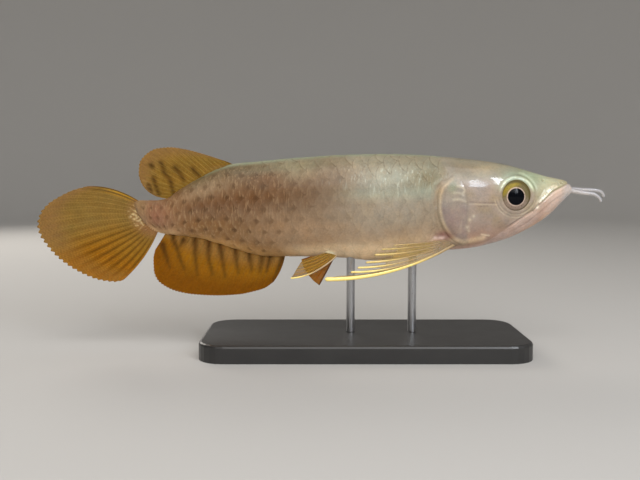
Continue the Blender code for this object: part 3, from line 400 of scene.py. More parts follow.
def paint_cheek(lay, px, pz, head):
    """Mottled mauve and olive cheeks under a grey-brown crown."""
    mottle = uneven(px, pz, 9.0)
    lay(CHEEK, head)
    lay(CHEEK_OLIVE, 0.6 * head * ease((mottle - 0.45) / 0.4) * ease((78.0 - pz) / 6.0))
    lay(CHEEK_PINK, head * ease((64.0 - pz) / 12.0) * ease((px - 58.0) / 8.0))
    lay(CROWN, head * ease((pz - 77.5) / 5.0))
    lay(CROWN_BROWN, 0.58 * near_spot(px, pz, (64.0, 84.6), (7.5, 3.0)))
    lay(CROWN_SHEEN, 0.5 * near_spot(px, pz, (75.0, 84.6), (5.0, 2.6)))


def paint_gill_cover(lay, px, pz):
    """The gill cover with its pale rim, the throat, and the marks at the roots of the paired fins."""
    ahead, _ = from_line(px, pz, GILL_LINE, 40)
    behind, _ = from_line(px, pz, COVER_FRONT)
    on_cover = ease((ahead - 1.0) / 2.0) * ease((1.5 - behind) / 3.0) * ease((84.0 - pz) / 5.0)
    lay(COVER, on_cover)
    lay(COVER_MAUVE, on_cover * ease((71.0 - pz) / 6.0) * (0.55 + 0.45 * uneven(px, pz, 5.0)))
    lay(SHIMMER_GREEN, 0.7 * near_spot(px, pz, (59.3, 77.0), (2.4, 3.0)))
    below_nape = ease((82.0 - pz) / 4.0)
    keel = smooth(BELLY_LINE, px)
    rim = below_nape * ease((pz - keel - 0.5) / 3.0)
    broken = 0.35 + 0.65 * uneven(px, pz, 2.6)
    lay(RIM, 0.8 * rim * ease((ahead + 3.0) / 2.0) * ease((2.8 - ahead) / 1.6))
    lay(RIM_LIGHT, 0.6 * rim * bump(ahead - 1.4, 0.6) * (0.5 + 0.5 * broken))
    lay(SHIMMER, 0.5 * bump(ahead + 2.4, 1.1) * ease((pz - 70.0) / 3.0) * below_nape)
    # The throat's pale pink, brightened with painted light where the underside turns away from the lamps.
    lay(THROAT_PINK_AND_PAINTED_LIGHT, 0.8 * ease((2.8 - pz + keel) / 2.4) * ease((px - 56.0) / 4.0))
    lay(THROAT_PALE, 0.9 * near_line(px, pz, THROAT_BAND, 1.3))
    # Painted shade in the groove behind the rim, along the shoulder line and along the front of the cover.
    behind_rim_shade = 0.16 * below_nape * bump(ahead - 3.0, 0.6)
    lay(GROOVE_SHADE, 0.4 * near_line(px, pz, SHOULDER_LINE, 0.55) + behind_rim_shade)
    lay(GROOVE_SHADE, 0.2 * near_line(px, pz, COVER_FRONT, 0.6) * broken * below_nape)
    for number, rib in enumerate(GILL_RIBS):
        lay(CREAM_AND_HIGHLIGHT, (0.36 if number < 3 else 0.12) * near_line(px, pz, rib, 0.6) * broken)
    for bead, radius in GILL_BEADS:
        lay(CREAM_AND_HIGHLIGHT, 0.3 * near_spot(px, pz, bead, radius))
    lay(AXIL, 1.3 * near_spot(px, pz, (56.6, 54.2), (4.2, 2.2)))
    # A painted pink highlight at the root of the pectoral fin.
    lay(PINK_PAINTED_HIGHLIGHT, 1.2 * near_spot(px, pz, (54.0, 53.2), (3.2, 0.9)) * broken)
    lay(AXIL_SCALE, 1.2 * near_line(px, pz, AXIL_SCALE_LINE, 0.8))


def paint_round_eye(lay, px, pz, head):
    """The snout, the mint arc over the eye with a painted highlight on its ridge, and the folds under it,
    with painted shade in them and painted highlights on their crests.
    """
    lay(SNOUT, ease((px - 95.0) / 8.0) * ease((pz - 68.0) / 4.0))
    lay(MINT, 0.85 * head * near_spot(px, pz, (95.5, 80.5), (9.5, 4.6)))
    across, up = px - EYE_AT[0], pz - EYE_AT[1]
    r = np.hypot(across, up)
    over, under = ease((up - 0.5) / 4.0), ease((-up - 0.5) / 3.0)
    broken = 0.35 + 0.65 * uneven(px, pz, 2.6)
    wide_arc = 0.45 * bump(r - 8.6, 2.4) + 0.35 * bump(r - 9.0, 1.3) * ease((across - 2.0) / 4.0)
    lay(MINT, wide_arc * (0.1 + 0.9 * over))
    # A mint painted highlight on the top of the eye's ridge and of the fold beyond it.
    outer_arc = 0.3 * over * bump(r - 10.1, 0.5) * ease(across / 3.0)
    lay(MINT_PAINTED_HIGHLIGHT, 0.75 * over * bump(r - EYE_RIDGE, 0.6) + outer_arc)
    # Painted shade in the groove round the eye's ridge, and in the folds under the eye.
    folds = bump(r - 8.5, 0.35) + bump(r - 9.8, 0.4)
    lay(GROOVE_SHADE, 0.3 * over * bump(r - 9.0, 0.45) + 0.26 * under * folds * broken)
    # Painted highlights on the crests between the folds.
    lay(CREAM_AND_HIGHLIGHT, 0.22 * under * (bump(r - 9.15, 0.3) + bump(r - 10.4, 0.35)) * broken)
    # Painted shade in the eye's socket.
    lay(GROOVE_SHADE, 0.5 * ease((6.9 - r) / 0.8))


def paint_mouth(lay, px, pz):
    """The pink lower jaw, the bone-white streak on the upper one with painted sparkle highlights in it, and
    the fine lines of both, drawn in painted shade and painted highlights.
    """
    below, share_along = from_line(px, pz, MOUTH_LINE, 40)
    gape = ease((1.0 - share_along) / 0.1)
    past_lip = ease((below + 0.3) / 0.8)
    lay(JAW, ease((below + 0.6) / 1.6) * ease((px - 70.0) / 14.0))
    lay(JAW_EDGE, ease((below - 4.5) / 2.5) * ease((px - 80.0) / 12.0))
    lay(JAW_TIP, 0.7 * ease((px - 100.0) / 8.0) * past_lip)
    lay(LIP, 0.45 * bump(below - 1.3, 0.9) * ease((px - 84.0) / 10.0))
    lay(CHIN, ease((px - 109.0) / 5.0) * past_lip)
    # The white of the jaw bone, broken into painted sparkle highlights along it.
    bone, along_bone = from_line(px, pz, JAW_BONE)
    streak = 0.15 + 0.85 * ease((uneven(px, pz, 1.5) - 0.35) / 0.25)
    bone_ends = ease((1.0 - np.abs(along_bone - 0.4) / 0.5) * 2)
    lay(BONE_WHITE_AND_SPARKLE, 1.1 * bump(bone, 0.65) * bone_ends * streak)
    lay(BONE_WHITE_AND_SPARKLE, 0.8 * near_spot(px, pz, (99.3, 67.3), 0.8))
    # Painted shade in the gape, the jaw fold, the cheek seams and the nostrils.
    lay(GROOVE_SHADE, 0.2 * gape * bump(below, 0.38) + 0.24 * near_line(px, pz, JAW_FOLD, 0.45))
    for seam in CHEEK_SEAMS:
        lay(GROOVE_SHADE, 0.4 * near_line(px, pz, seam, 0.34))
    # Painted highlights on the cheek ridge and the throat crease.
    lay(CREAM_AND_HIGHLIGHT, 0.18 * near_line(px, pz, CHEEK_LINE, 0.35) + 0.5 * near_line(px, pz, THROAT_CREASE, 0.4))
    for nostril, radius in NOSTRILS:
        lay(GROOVE_SHADE, 0.3 * near_spot(px, pz, nostril, radius))


def hide_tint(x, share, px, pz):
    """The hide's colour at places x and share of the way up, which are seen at px and pz."""
    shade = np.tile(FLANK, np.shape(x) + (1,))

    def lay(paint, strength):
        strength = np.clip(strength, 0.0, 1.0)[..., None]
        shade[...] = shade + (paint - shade) * strength

    head = ease((px - 53.0) / 9.0)
    paint_flanks(lay, x, share, px, pz)
    paint_cheek(lay, px, pz, head)
    paint_gill_cover(lay, px, pz)
    paint_round_eye(lay, px, pz, head)
    paint_mouth(lay, px, pz)
    return shade


def new_piece(name, vertices, faces):
    """A mesh object from points in millimetres."""
    mesh = bpy.data.meshes.new(name)
    mesh.from_pydata((np.asarray(vertices, float) * MM).tolist(), [], faces)
    mesh.update()
    piece = bpy.data.objects.new(name, mesh)
    bpy.context.scene.collection.objects.link(piece)
    mesh.shade_smooth()
    return piece


def set_mask(piece, name, values):
    """A value at each point, which the material reads."""
    layer = piece.data.attributes.new(name, "FLOAT", "POINT")
    layer.data.foreach_set("value", np.asarray(values, np.float32).ravel())


def set_tint(piece, values):
    """A colour at each point, which the material reads."""
    layers = piece.data.attributes
    layer = layers.get("tint") or layers.new("tint", "FLOAT_VECTOR", "POINT")
    layer.data.foreach_set("vector", np.asarray(values, np.float32).ravel())


def set_uv(piece, name, per_vertex):
    """A UV map from one pair of values for each point."""
    layer = piece.data.uv_layers.new(name=name)
    corners = np.zeros(len(piece.data.loops), int)
    piece.data.loops.foreach_get("vertex_index", corners)
    layer.data.foreach_set("uv", np.asarray(per_vertex, np.float32)[corners].ravel())


def plug(tree, socket, value):
    """Gives an input of a node a link or a plain value."""
    if isinstance(value, bpy.types.NodeSocket):
        tree.links.new(value, socket)
    else:
        socket.default_value = value


def add_node(tree, kind, settings=None, **inputs):
    """A shader node, with its settings and its inputs by name, with _ for a space."""
    made = tree.nodes.new(kind)
    for key, value in (settings or {}).items():
        setattr(made, key, value)
    for key, value in inputs.items():
        plug(tree, made.inputs[key.replace("_", " ")], value)
    return made


def compute(tree, operation, *values):
    """Values joined by arithmetic."""
    made = add_node(tree, "ShaderNodeMath", {"operation": operation})
    for socket, value in zip(made.inputs, values):
        plug(tree, socket, value)
    return made.outputs[0]


def times(tree, first, second):
    return compute(tree, "MULTIPLY", first, second)


def plus(tree, first, second):
    return compute(tree, "ADD", first, second)


def minus(tree, first, second):
    return compute(tree, "SUBTRACT", first, second)


def noise(tree, place, scale, detail, roughness=0.5):
    """Soft random variation about 0.5, finer for a larger scale."""
    made = add_node(
        tree, "ShaderNodeTexNoise", Vector=place, Scale=scale, Detail=detail, Roughness=roughness,
    )
    return made.outputs["Fac"]


def stretched(tree, place, turn, scale):
    """The place turned about the side view's axis and scaled, which draws noise out into strokes."""
    made = add_node(tree, "ShaderNodeMapping", Vector=place, Rotation=(0.0, turn, 0.0), Scale=scale)
    return made.outputs["Vector"]


def rise(tree, value, low, high):
    """0 up to `low`, 1 from `high`, smooth between; either may be the larger."""
    made = add_node(tree, "ShaderNodeMapRange", {"interpolation_type": "SMOOTHSTEP"}, Value=value)
    made.inputs["From Min"].default_value = low
    made.inputs["From Max"].default_value = high
    return made.outputs["Result"]


def paint_over(tree, under, over, strength):
    """Lays one colour over another by a share."""
    mix = add_node(tree, "ShaderNodeMix", {"data_type": "RGBA"}, Factor=strength)
    for socket, paint in ((mix.inputs[6], under), (mix.inputs[7], over)):
        plug(tree, socket, paint if isinstance(paint, bpy.types.NodeSocket) else (*paint, 1.0))
    return mix.outputs[2]


def emboss(tree, shader, strength, distance, height, **more):
    """Gives a shader the fine relief of a height."""
    made = add_node(
        tree, "ShaderNodeBump", Strength=strength, Distance=distance, Height=height, **more,
    )
    tree.links.new(made.outputs["Normal"], shader.inputs["Normal"])


def mask(tree, name):
    return add_node(tree, "ShaderNodeAttribute", {"attribute_name": name}).outputs["Fac"]


def own_tint(tree):
    return add_node(tree, "ShaderNodeAttribute", {"attribute_name": "tint"}).outputs["Color"]


def object_place(tree):
    return add_node(tree, "ShaderNodeTexCoord").outputs["Object"]


def new_material(name, **settings):
    """A material with a Principled shader, whose plain values are set on its own sockets."""
    material = bpy.data.materials.new(name)
    material.use_nodes = True
    shader = material.node_tree.nodes["Principled BSDF"]
    for key, value in settings.items():
        shader.inputs[key.replace("_", " ")].default_value = value
    return material, material.node_tree, shader


def new_effect(name, inputs, outputs):
    """A node group with named sockets, for an effect that more than one material uses."""
    group = bpy.data.node_groups.new(name, "ShaderNodeTree")
    for label, kind in inputs:
        group.interface.new_socket(label, in_out="INPUT", socket_type=kind)
    for label, kind in outputs:
        group.interface.new_socket(label, in_out="OUTPUT", socket_type=kind)
    return group, group.nodes.new("NodeGroupInput").outputs, group.nodes.new("NodeGroupOutput").inputs


def use_effect(tree, group, **inputs):
    return add_node(tree, "ShaderNodeGroup", {"node_tree": group}, **inputs).outputs


# Living colour: cloudy and finely speckled pigment over a tint, and fine pores for the relief.
pigment, given, result = new_effect(
    "living_pigment",
    [("Tint", "NodeSocketColor"), ("Cloud", "NodeSocketFloat"), ("Speckle", "NodeSocketFloat")],
    [("Color", "NodeSocketColor"), ("Height", "NodeSocketFloat")],
)
place = object_place(pigment)
cloud = noise(pigment, place, 170.0, 4.0, 0.6)
fine = noise(pigment, place, 1100.0, 3.0, 0.6)
wide = noise(pigment, place, 95.0, 5.0, 0.7)
cells = add_node(pigment, "ShaderNodeTexVoronoi", Vector=place, Scale=1900.0).outputs["Distance"]
bright = times(pigment, minus(pigment, cloud, 0.5), given["Cloud"])
grainy = times(pigment, minus(pigment, fine, 0.5), given["Speckle"])
gain = plus(pigment, plus(pigment, bright, grainy), 1.0)
shaded = add_node(pigment, "ShaderNodeVectorMath", {"operation": "SCALE"}, Vector=given["Tint"], Scale=gain)
warmth = times(pigment, minus(pigment, wide, 0.5), given["Cloud"])
warmer = add_node(pigment, "ShaderNodeCombineXYZ")
for channel, share in enumerate((0.45, 0.0, -0.55)):
    shift = plus(pigment, times(pigment, warmth, share), 1.0)
    pigment.links.new(shift, warmer.inputs[channel])
shaded = add_node(
    pigment, "ShaderNodeVectorMath", {"operation": "MULTIPLY"}, Vector=shaded.outputs["Vector"],
)
pigment.links.new(warmer.outputs["Vector"], shaded.inputs[1])
pigment.links.new(shaded.outputs["Vector"], result["Color"])
pigment.links.new(plus(pigment, times(pigment, cells, 0.5), cloud), result["Height"])


def skin_grid():
    """The stations and shares of the skin's mesh, closest on the head."""
    tail = np.linspace(-87.6, 48.0, 96)
    head = np.linspace(48.0, 112.0, 206)[1:]
    tip = 117.3 - 5.3 * (1 - np.sin(np.linspace(0, math.pi / 2, 24)[1:]))
    return np.concatenate([tail, head, tip]), np.linspace(0.0, 1.0, 131)


def pearl_strength(x, share):
    """Where the hide glints like pearl: along the upper flank, most behind the head."""
    return bump(share - 0.7, 0.11) * bump(x - 32.0, 22.0)


def ring_faces(rings, sides):
    """The faces between rings of points, and over both ends."""
    faces = []
    for i in range(rings - 1):
        for j in range(sides):
            a, k = i * sides, (j + 1) % sides
            faces.append((a + j, a + k, a + sides + k, a + sides + j))
    faces.append(tuple(range(sides - 1, -1, -1)))
    faces.append(tuple(range((rings - 1) * sides, rings * sides)))
    return faces


def border_of(grid):
    """The numbers round the edge of a table, from its first corner along its first row."""
    return [int(v) for v in (*grid[0], *grid[1:, -1], *grid[-1, -2::-1], *grid[-2:0:-1, 0])]


def make_skin():
    xs, shares = skin_grid()
    x, share = np.meshgrid(xs, shares, indexing="ij")
    points = body_point(x, share)
    normals = body_normal(x, share)
    relief = head_relief(points[..., 0], points[..., 2]) * ease((x - 43.0) / 4.0)
    under_scales = -0.14 * (1 - ease((x - 50.0) / 5.0))
    tint = hide_tint(x, share, points[..., 0], points[..., 2])
    moved = points + normals * (relief + under_scales)[..., None]
    moved[:, 0, 1] = moved[:, -1, 1] = 0.0
    rings = np.concatenate([moved, moved[:, -2:0:-1] * (1, -1, 1)], axis=1)
    skin = new_piece("fish_skin", rings.reshape(-1, 3), ring_faces(*rings.shape[:2]))

    def both_flanks(values):
        return np.concatenate([values, values[:, -2:0:-1]], axis=1)

    set_tint(skin, both_flanks(tint))
    set_mask(skin, "pearl", both_flanks(pearl_strength(x, share)))
    return skin


skin = make_skin()
hide, tree, shader = new_material(
    "wet_pearly_hide", Roughness=0.38, Coat_Weight=0.45, Coat_Roughness=0.07, Specular_IOR_Level=0.35,
    Subsurface_Weight=0.1, Subsurface_Radius=(1.0, 0.5, 0.3), Subsurface_Scale=0.0012,
)
painted = use_effect(tree, pigment, Tint=own_tint(tree), Cloud=0.7, Speckle=0.5)
tree.links.new(painted["Color"], shader.inputs["Base Color"])
emboss(tree, shader, 0.3, 0.0004, painted["Height"])
tree.links.new(times(tree, mask(tree, "pearl"), 0.15), shader.inputs["Metallic"])
skin.data.materials.append(hide)
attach(skin, "root")
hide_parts("head", "lower_jaw", "gill_cover_left", "gill_cover_right", "trunk", "tail_stalk")

# The scales: large, thin, horny plates in rows along the flanks, each rooted under the one ahead of it
# and free at its rounded rear edge. Each is a closed plate of its own, laid on the skin. The rear half
# has a dark spot at the root of each, the upper back dark outlines, and the front a pearly glint.
SCALES_FROM = 74.2
SCALE_PITCH = [(-88.0, 3.6), (-74.0, 4.9), (-54.0, 6.5), (-20.0, 6.9), (60.0, 7.1)]
ROW_HEIGHT = [(-88.0, 4.2), (-60.0, 4.9), (-20.0, 5.4), (20.0, 6.3), (60.0, 6.9)]
SCALE_FRONT = [
    (52.0, 96.0), (55.0, 90.0), (58.0, 84.5), (58.6, 81.6), (55.0, 79.4), (51.3, 75.9), (50.2, 72.0),
    (50.4, 67.0), (51.6, 61.5), (53.6, 57.0), (56.5, 53.5), (60.0, 50.5), (64.0, 47.0), (66.0, 42.0),
]
SCALE_LIFT = [(-84.0, 0.03), (-76.0, 0.1), (-20.0, 0.14), (30.0, 0.14)]
SCALE_DIP, SCALE_THICKNESS, SCALE_BULGE = 0.1, 0.08, 0.44
SCALE_DEPTH, SCALE_HALF_HEIGHT, SCALE_ROWS = 1.12, 0.97, 17
SCALE_BACK = np.array([0.0, 0.1, 0.5, SCALE_DEPTH])
SCALE_ACROSS = np.linspace(-SCALE_HALF_HEIGHT, SCALE_HALF_HEIGHT, 9)
PLATE_BACK, PLATE_ACROSS = np.meshgrid(SCALE_BACK, SCALE_ACROSS, indexing="ij")
BARE_SPOTS = [
    ((56.5, 8.0, 53.0), 5.0), ((3.0, 3.0, 45.0), 3.0), ((43.0, 0.0, 43.6), 2.6), ((14.0, 0.0, 42.8), 2.6),
]
SCALE_SPOT, SCALE_EDGE = colour(72, 48, 24), colour(196, 176, 148)
SCALE_GLINT, SCALE_STROKE = colour(206, 214, 200), colour(190, 160, 122)

tips = [SCALES_FROM]
while tips[-1] > -98.0:
    tips.append(tips[-1] - float(smooth(SCALE_PITCH, tips[-1])))


def scale_tip(number):
    """Where the rear tip of a scale is along the body, counted back from the first."""
    return float(np.interp(number, range(len(tips)), tips))


def scale_pattern():
    """The faces of one plate, and which point gives each corner's place in the bake map."""
    deep, wide = len(SCALE_BACK), len(SCALE_ACROSS)
    count = deep * wide
    faces = []
    for i in range(deep - 1):
        for j in range(wide - 1):
            c = i * wide + j
            faces.append((c, c + wide, c + wide + 1, c + 1))
    sources = [list(face) for face in faces]
    border = border_of(np.arange(count).reshape(deep, wide))
    for n, v in enumerate(border):
        m = (n + 1) % len(border)
        faces.append((v, border[m], count + m, count + n))
        sources.append([v, border[m], border[m], v])
    faces.append(tuple(count + n for n in range(len(border))))
    sources.append([count + v for v in border])
    return faces, sources, border


def bareness(points):
    """1 where a fin or a rod meets the body, so that the scales sink into the skin there."""
    near = [np.linalg.norm(points - np.array(at), axis=-1) / reach for at, reach in BARE_SPOTS]
    return 1 - ease((np.min(near, axis=0) - 0.6) / 0.5)


def scale_place(row, number):
    """A scale's rear tip and its length along the body, or None where it would lie off the flank."""
    on_body = number + 0.5 * (row % 2)
    tip = scale_tip(on_body)
    total = girth(tip)
    centre = row * smooth(ROW_HEIGHT, tip) + smooth(LATERAL_LINE, tip) * total
    if tip < TAIL_END - 1.2 or not 0.35 < centre < total - 0.35:
        return None
    middle = body_point(tip, centre / total)
    ahead, _ = from_line(middle[0:1], middle[2:3], SCALE_FRONT)
    if ahead[0] > 0.6:
        return None
    return tip, tip - scale_tip(on_body + 1)


def shape_plate(row, tip, length, jitter):
    """A plate's stations and shares of the way up, the points of its upper face and their normals."""
    a, b = PLATE_BACK, PLATE_ACROSS
    x = tip + 0.15 * jitter[0] + length * (SCALE_BULGE * np.abs(b) ** 2.2 + a)
    total = girth(x)
    up = smooth(LATERAL_LINE, x) * total + (row + b) * smooth(ROW_HEIGHT, x)
    bottom, top = np.maximum(up[:, :1], 0.12), np.minimum(up[:, -1:], total[:, -1:] - 0.12)
    squeezed = (bottom > up[:, :1]) | (top < up[:, -1:])
    spread = (SCALE_ACROSS + SCALE_HALF_HEIGHT) / (2 * SCALE_HALF_HEIGHT)
    share = np.where(squeezed, bottom + (top - bottom) * spread, up) / total
    points, normals = body_point(x, share), body_normal(x, share)
    back = a / SCALE_DEPTH
    lift = smooth(SCALE_LIFT, tip) + 0.02 * jitter[1]
    lift = lift * (1 - back) * (1 - 0.3 * np.abs(b) ** 3)
    if tip > 36.0:
        ahead, _ = from_line(points[..., 0], points[..., 2], SCALE_FRONT)
        lift -= 0.35 * ease((ahead + 2.0) / 4.0)
    lift += 0.03 * (1 - b**2) - SCALE_DIP * back - 0.02 * (a < 0.05)
    lift -= 0.45 * bareness(points)
    return x, share, points + normals * lift[..., None], normals


def bake_patch(row, tip, length):
    """Where the points of a plate's upper face and then of its lower one lie in the bake map."""
    along = tip + 0.9 * PLATE_BACK / SCALE_DEPTH * length - TAIL_END
    along = along / (SCALES_FROM + 10.0 - TAIL_END)
    upper = (row + 8.5 + 0.4 * PLATE_ACROSS) / SCALE_ROWS + 0.003
    lower = (row + 8.03 + 0.03 * PLATE_ACROSS) / SCALE_ROWS
    return np.concatenate([np.stack([along, face], axis=-1).reshape(-1, 2) for face in (upper, lower)])


def sharpen_rims(scales, border, each):
    """Keeps the rim of every plate crisp, while its upper face is smooth."""
    ends = np.zeros(len(scales.data.edges) * 2, int)
    scales.data.edges.foreach_get("vertices", ends)
    order = np.full(each, -1)
    order[border] = np.arange(len(border))
    order = order[ends.reshape(-1, 2) % each]
    rim = (order.min(axis=1) >= 0) & np.isin(np.abs(order[:, 0] - order[:, 1]), (1, len(border) - 1))
    scales.data.attributes.new("sharp_edge", "BOOLEAN", "EDGE").data.foreach_set("value", rim)


def make_scales(side, sign):
    """All the scales of one flank."""
    pattern, sources, border = scale_pattern()
    rng = np.random.default_rng(11 + sign)
    plates, stations, shares, ages, patches = [], [], [], [], []
    for row in range(-(SCALE_ROWS // 2), SCALE_ROWS // 2 + 1):
        for number in range(len(tips) - 2):
            found = scale_place(row, number)
            if found is None:
                continue
            tip, length = found
            jitter = rng.uniform(-1, 1, 3)
            x, share, upper, normals = shape_plate(row, tip, length, jitter)
            lower = upper - normals * SCALE_THICKNESS
            plates.append(np.concatenate([upper.reshape(-1, 3), lower.reshape(-1, 3)[border]]))
            stations.append(x.ravel())
            shares.append(share.ravel())
            ages.append(np.full(x.size, 0.5 + 0.5 * jitter[2]))
            patches.append(bake_patch(row, tip, length))
    count, each = len(plates), len(plates[0])
    vertices = np.concatenate(plates)

    def plate_values(values):
        return np.concatenate([np.concatenate([value, value[border]]) for value in values])

    faces = [tuple(n * each + v for v in face[::-sign]) for n in range(count) for face in pattern]
    corners = [patches[n][v] for n in range(count) for face in sources for v in face[::-sign]]
    scales = new_piece(f"scales_{side}", vertices * (1, sign, 1), faces)
    top = (len(SCALE_BACK) - 1) * (len(SCALE_ACROSS) - 1)
    scales.data.polygons.foreach_set("use_smooth", np.tile(np.arange(len(pattern)) < top, count))
    sharpen_rims(scales, border, each)
    x, share = plate_values(stations), plate_values(shares)
    set_tint(scales, hide_tint(x, share, vertices[:, 0], vertices[:, 2]))
    set_mask(scales, "pearl", pearl_strength(x, share))
    set_mask(scales, "age", plate_values(ages))
    spots = (0.06 + 0.84 * ease((4.0 - x) / 44.0)) * ease((0.93 - share) / 0.08)
    spots *= ease((share + 0.25 * (x < -20)) / 0.3)
    spots += 0.28 * bump(share - 0.76, 0.09) * bump(x - 6.0, 24.0)
    set_mask(scales, "spots", spots)
    set_mask(scales, "outlined", 0.4 + 0.6 * ease((share - 0.66) / 0.12))
    lie = np.stack([PLATE_BACK / SCALE_DEPTH, 0.5 + 0.5 * PLATE_ACROSS], axis=-1).reshape(-1, 2)
    set_uv(scales, "lie", plate_values([lie] * count))
    layer = scales.data.uv_layers.new(name="OFBake")
    layer.data.foreach_set("uv", np.clip(np.array(corners, np.float32), 0.001, 0.999).ravel())
    return scales


plate, tree, shader = new_material(
    "pearly_scale", Roughness=0.42, Coat_Weight=0.12, Coat_Roughness=0.12, Specular_IOR_Level=0.2,
    Subsurface_Weight=0.08, Subsurface_Radius=(1.0, 0.6, 0.4), Subsurface_Scale=0.001,
)
place = object_place(tree)
lie = add_node(tree, "ShaderNodeUVMap", {"uv_map": "lie"}).outputs["UV"]
from_tip = add_node(tree, "ShaderNodeSeparateXYZ", Vector=lie).outputs["X"]
smudge = noise(tree, place, 620.0, 3.0)
focus = add_node(tree, "ShaderNodeVectorMath", {"operation": "DISTANCE"})
tree.links.new(stretched(tree, lie, 0.0, (1.0, 1.5, 1.0)), focus.inputs[0])
focus.inputs[1].default_value = (0.62, 0.75, 0.0)
from_focus = focus.outputs["Value"]
wander = times(tree, minus(tree, smudge, 0.5), 0.22)
spot = rise(tree, plus(tree, from_focus, wander), 0.26, 0.02)
strength = times(tree, spot, plus(tree, times(tree, mask(tree, "age"), 0.35), 0.45))
painted = use_effect(tree, pigment, Tint=own_tint(tree), Cloud=0.6, Speckle=0.45)
shade = paint_over(tree, painted["Color"], SCALE_SPOT, times(tree, strength, mask(tree, "spots")))
# Painted shade on each scale towards its root, where the scale ahead overlaps it, deeper where the spots are.
darker = plus(tree, times(tree, mask(tree, "spots"), 0.12), 0.04)
rooted = times(tree, rise(tree, from_tip, 0.3, 0.75), darker)
shade = paint_over(tree, shade, SCALE_SPOT, rooted)
shade = paint_over(tree, shade, SCALE_EDGE, times(tree, rise(tree, from_tip, 0.35, 0.05), 0.05))
outline = times(tree, rise(tree, from_tip, 0.1, 0.0), rise(tree, smudge, 0.3, 0.6))
outline = times(tree, outline, times(tree, mask(tree, "outlined"), 0.42))
shade = paint_over(tree, shade, SCALE_SPOT, outline)
glints = noise(tree, stretched(tree, place, 0.5, (1.0, 1.0, 0.22)), 900.0, 2.0)
glint = times(tree, rise(tree, glints, 0.55, 0.75), mask(tree, "pearl"))
shade = paint_over(tree, shade, SCALE_GLINT, times(tree, glint, 0.4))
strands = noise(tree, stretched(tree, place, -0.85, (1.0, 1.0, 0.2)), 1300.0, 2.0)
stroke = plus(tree, times(tree, mask(tree, "spots"), 0.16), 0.06)
shade = paint_over(tree, shade, SCALE_STROKE, times(tree, rise(tree, strands, 0.52, 0.68), stroke))
tree.links.new(shade, shader.inputs["Base Color"])
rings = compute(tree, "SINE", times(tree, from_focus, 140.0))
ring_relief = add_node(tree, "ShaderNodeBump", Strength=0.06, Distance=0.0001, Height=rings)
emboss(tree, shader, 0.25, 0.0003, painted["Height"], Normal=ring_relief.outputs["Normal"])
tree.links.new(times(tree, mask(tree, "pearl"), 0.2), shader.inputs["Metallic"])
for side, sign in (("left", 1), ("right", -1)):
    scales = make_scales(side, sign)
    scales.data.materials.append(plate)
    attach(scales, "root")
    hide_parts("trunk", "tail_stalk")

# The eyes: glassy balls under a clear skin, set in their sockets and leaning with the side of the head.
# Each has a black pupil, a pale ring round it and an iris of old gold, greyer in front and below.
EYE_SINK, EYE_RADIUS, EYE_HALF_DEPTH, EYE_LEAN = 1.75, 7.4, 3.6, (0.17, 0.05)
PUPIL_RADIUS, RING_RADIUS, IRIS_RADIUS = 3.85, 4.2, 6.5
GOLD, OLD_GOLD, IRIS_GREY = colour(146, 128, 50), colour(112, 102, 72), colour(146, 128, 114)
IRIS_FIBRE, IRIS_RIM, PUPIL_RING = colour(70, 54, 30), colour(92, 82, 50), colour(196, 174, 160)
PUPIL_BLACK = np.array([0.002, 0.0025, 0.004])
eye_outline = body_point(np.full(len(SHARES), EYE_AT[0]), SHARES)
eye_surface = float(np.interp(EYE_AT[1], eye_outline[:, 2], eye_outline[:, 1]))


def make_eye(side, sign):
    bpy.ops.object.select_all(action="DESELECT")
    bpy.ops.mesh.primitive_uv_sphere_add(segments=72, ring_count=48, rotation=(math.pi / 2, 0.0, 0.0))
    eye = bpy.context.active_object
    eye.name = eye.data.name = f"eye_{side}_finished"
    bpy.ops.object.transform_apply(location=True, rotation=True, scale=True)
    co = np.zeros(len(eye.data.vertices) * 3, np.float32)
    eye.data.vertices.foreach_get("co", co)
    co = co.reshape(-1, 3) * (EYE_RADIUS, EYE_HALF_DEPTH, EYE_RADIUS)
    co[:, 1] += sign * 0.3 * bump(np.hypot(co[:, 0], co[:, 2]), 3.4) * (co[:, 1] * sign > 0)
    set_mask(eye, "across", co[:, 0] + 0.6)
    set_mask(eye, "up", co[:, 2] + 0.7)
    co[:, 1] -= sign * (EYE_LEAN[0] * co[:, 0] + EYE_LEAN[1] * co[:, 2])
    co += (EYE_AT[0], sign * (eye_surface - EYE_SINK), EYE_AT[1])
    eye.data.vertices.foreach_set("co", (co * MM).ravel())
    eye.data.update()
    eye.data.shade_smooth()
    return eye


glassy, tree, shader = new_material(
    "glassy_eye", Roughness=0.2, Coat_Weight=0.08, Coat_Roughness=0.03, Specular_IOR_Level=0.05,
)
across, up = mask(tree, "across"), mask(tree, "up")
radius = compute(tree, "SQRT", plus(tree, times(tree, across, across), times(tree, up, up)))
fibres = noise(tree, object_place(tree), 1500.0, 4.0, 0.65)
upward = minus(tree, up, times(tree, across, 0.7))
shade = paint_over(tree, IRIS_GREY, OLD_GOLD, rise(tree, up, -4.0, 1.5))
shade = paint_over(tree, shade, GOLD, rise(tree, upward, 2.5, 6.5))
shade = paint_over(tree, shade, IRIS_FIBRE, times(tree, rise(tree, fibres, 0.5, 0.7), 0.6))
shade = paint_over(tree, shade, IRIS_RIM, rise(tree, radius, IRIS_RADIUS - 0.8, IRIS_RADIUS + 0.3))
ring = rise(tree, radius, RING_RADIUS + 0.35, RING_RADIUS - 0.1)
shade = paint_over(tree, shade, PUPIL_RING, times(tree, rise(tree, fibres, 0.25, 0.6), ring))
pupil = rise(tree, radius, PUPIL_RADIUS + 0.15, PUPIL_RADIUS - 0.1)
shade = paint_over(tree, shade, PUPIL_BLACK, pupil)
tree.links.new(shade, shader.inputs["Base Color"])
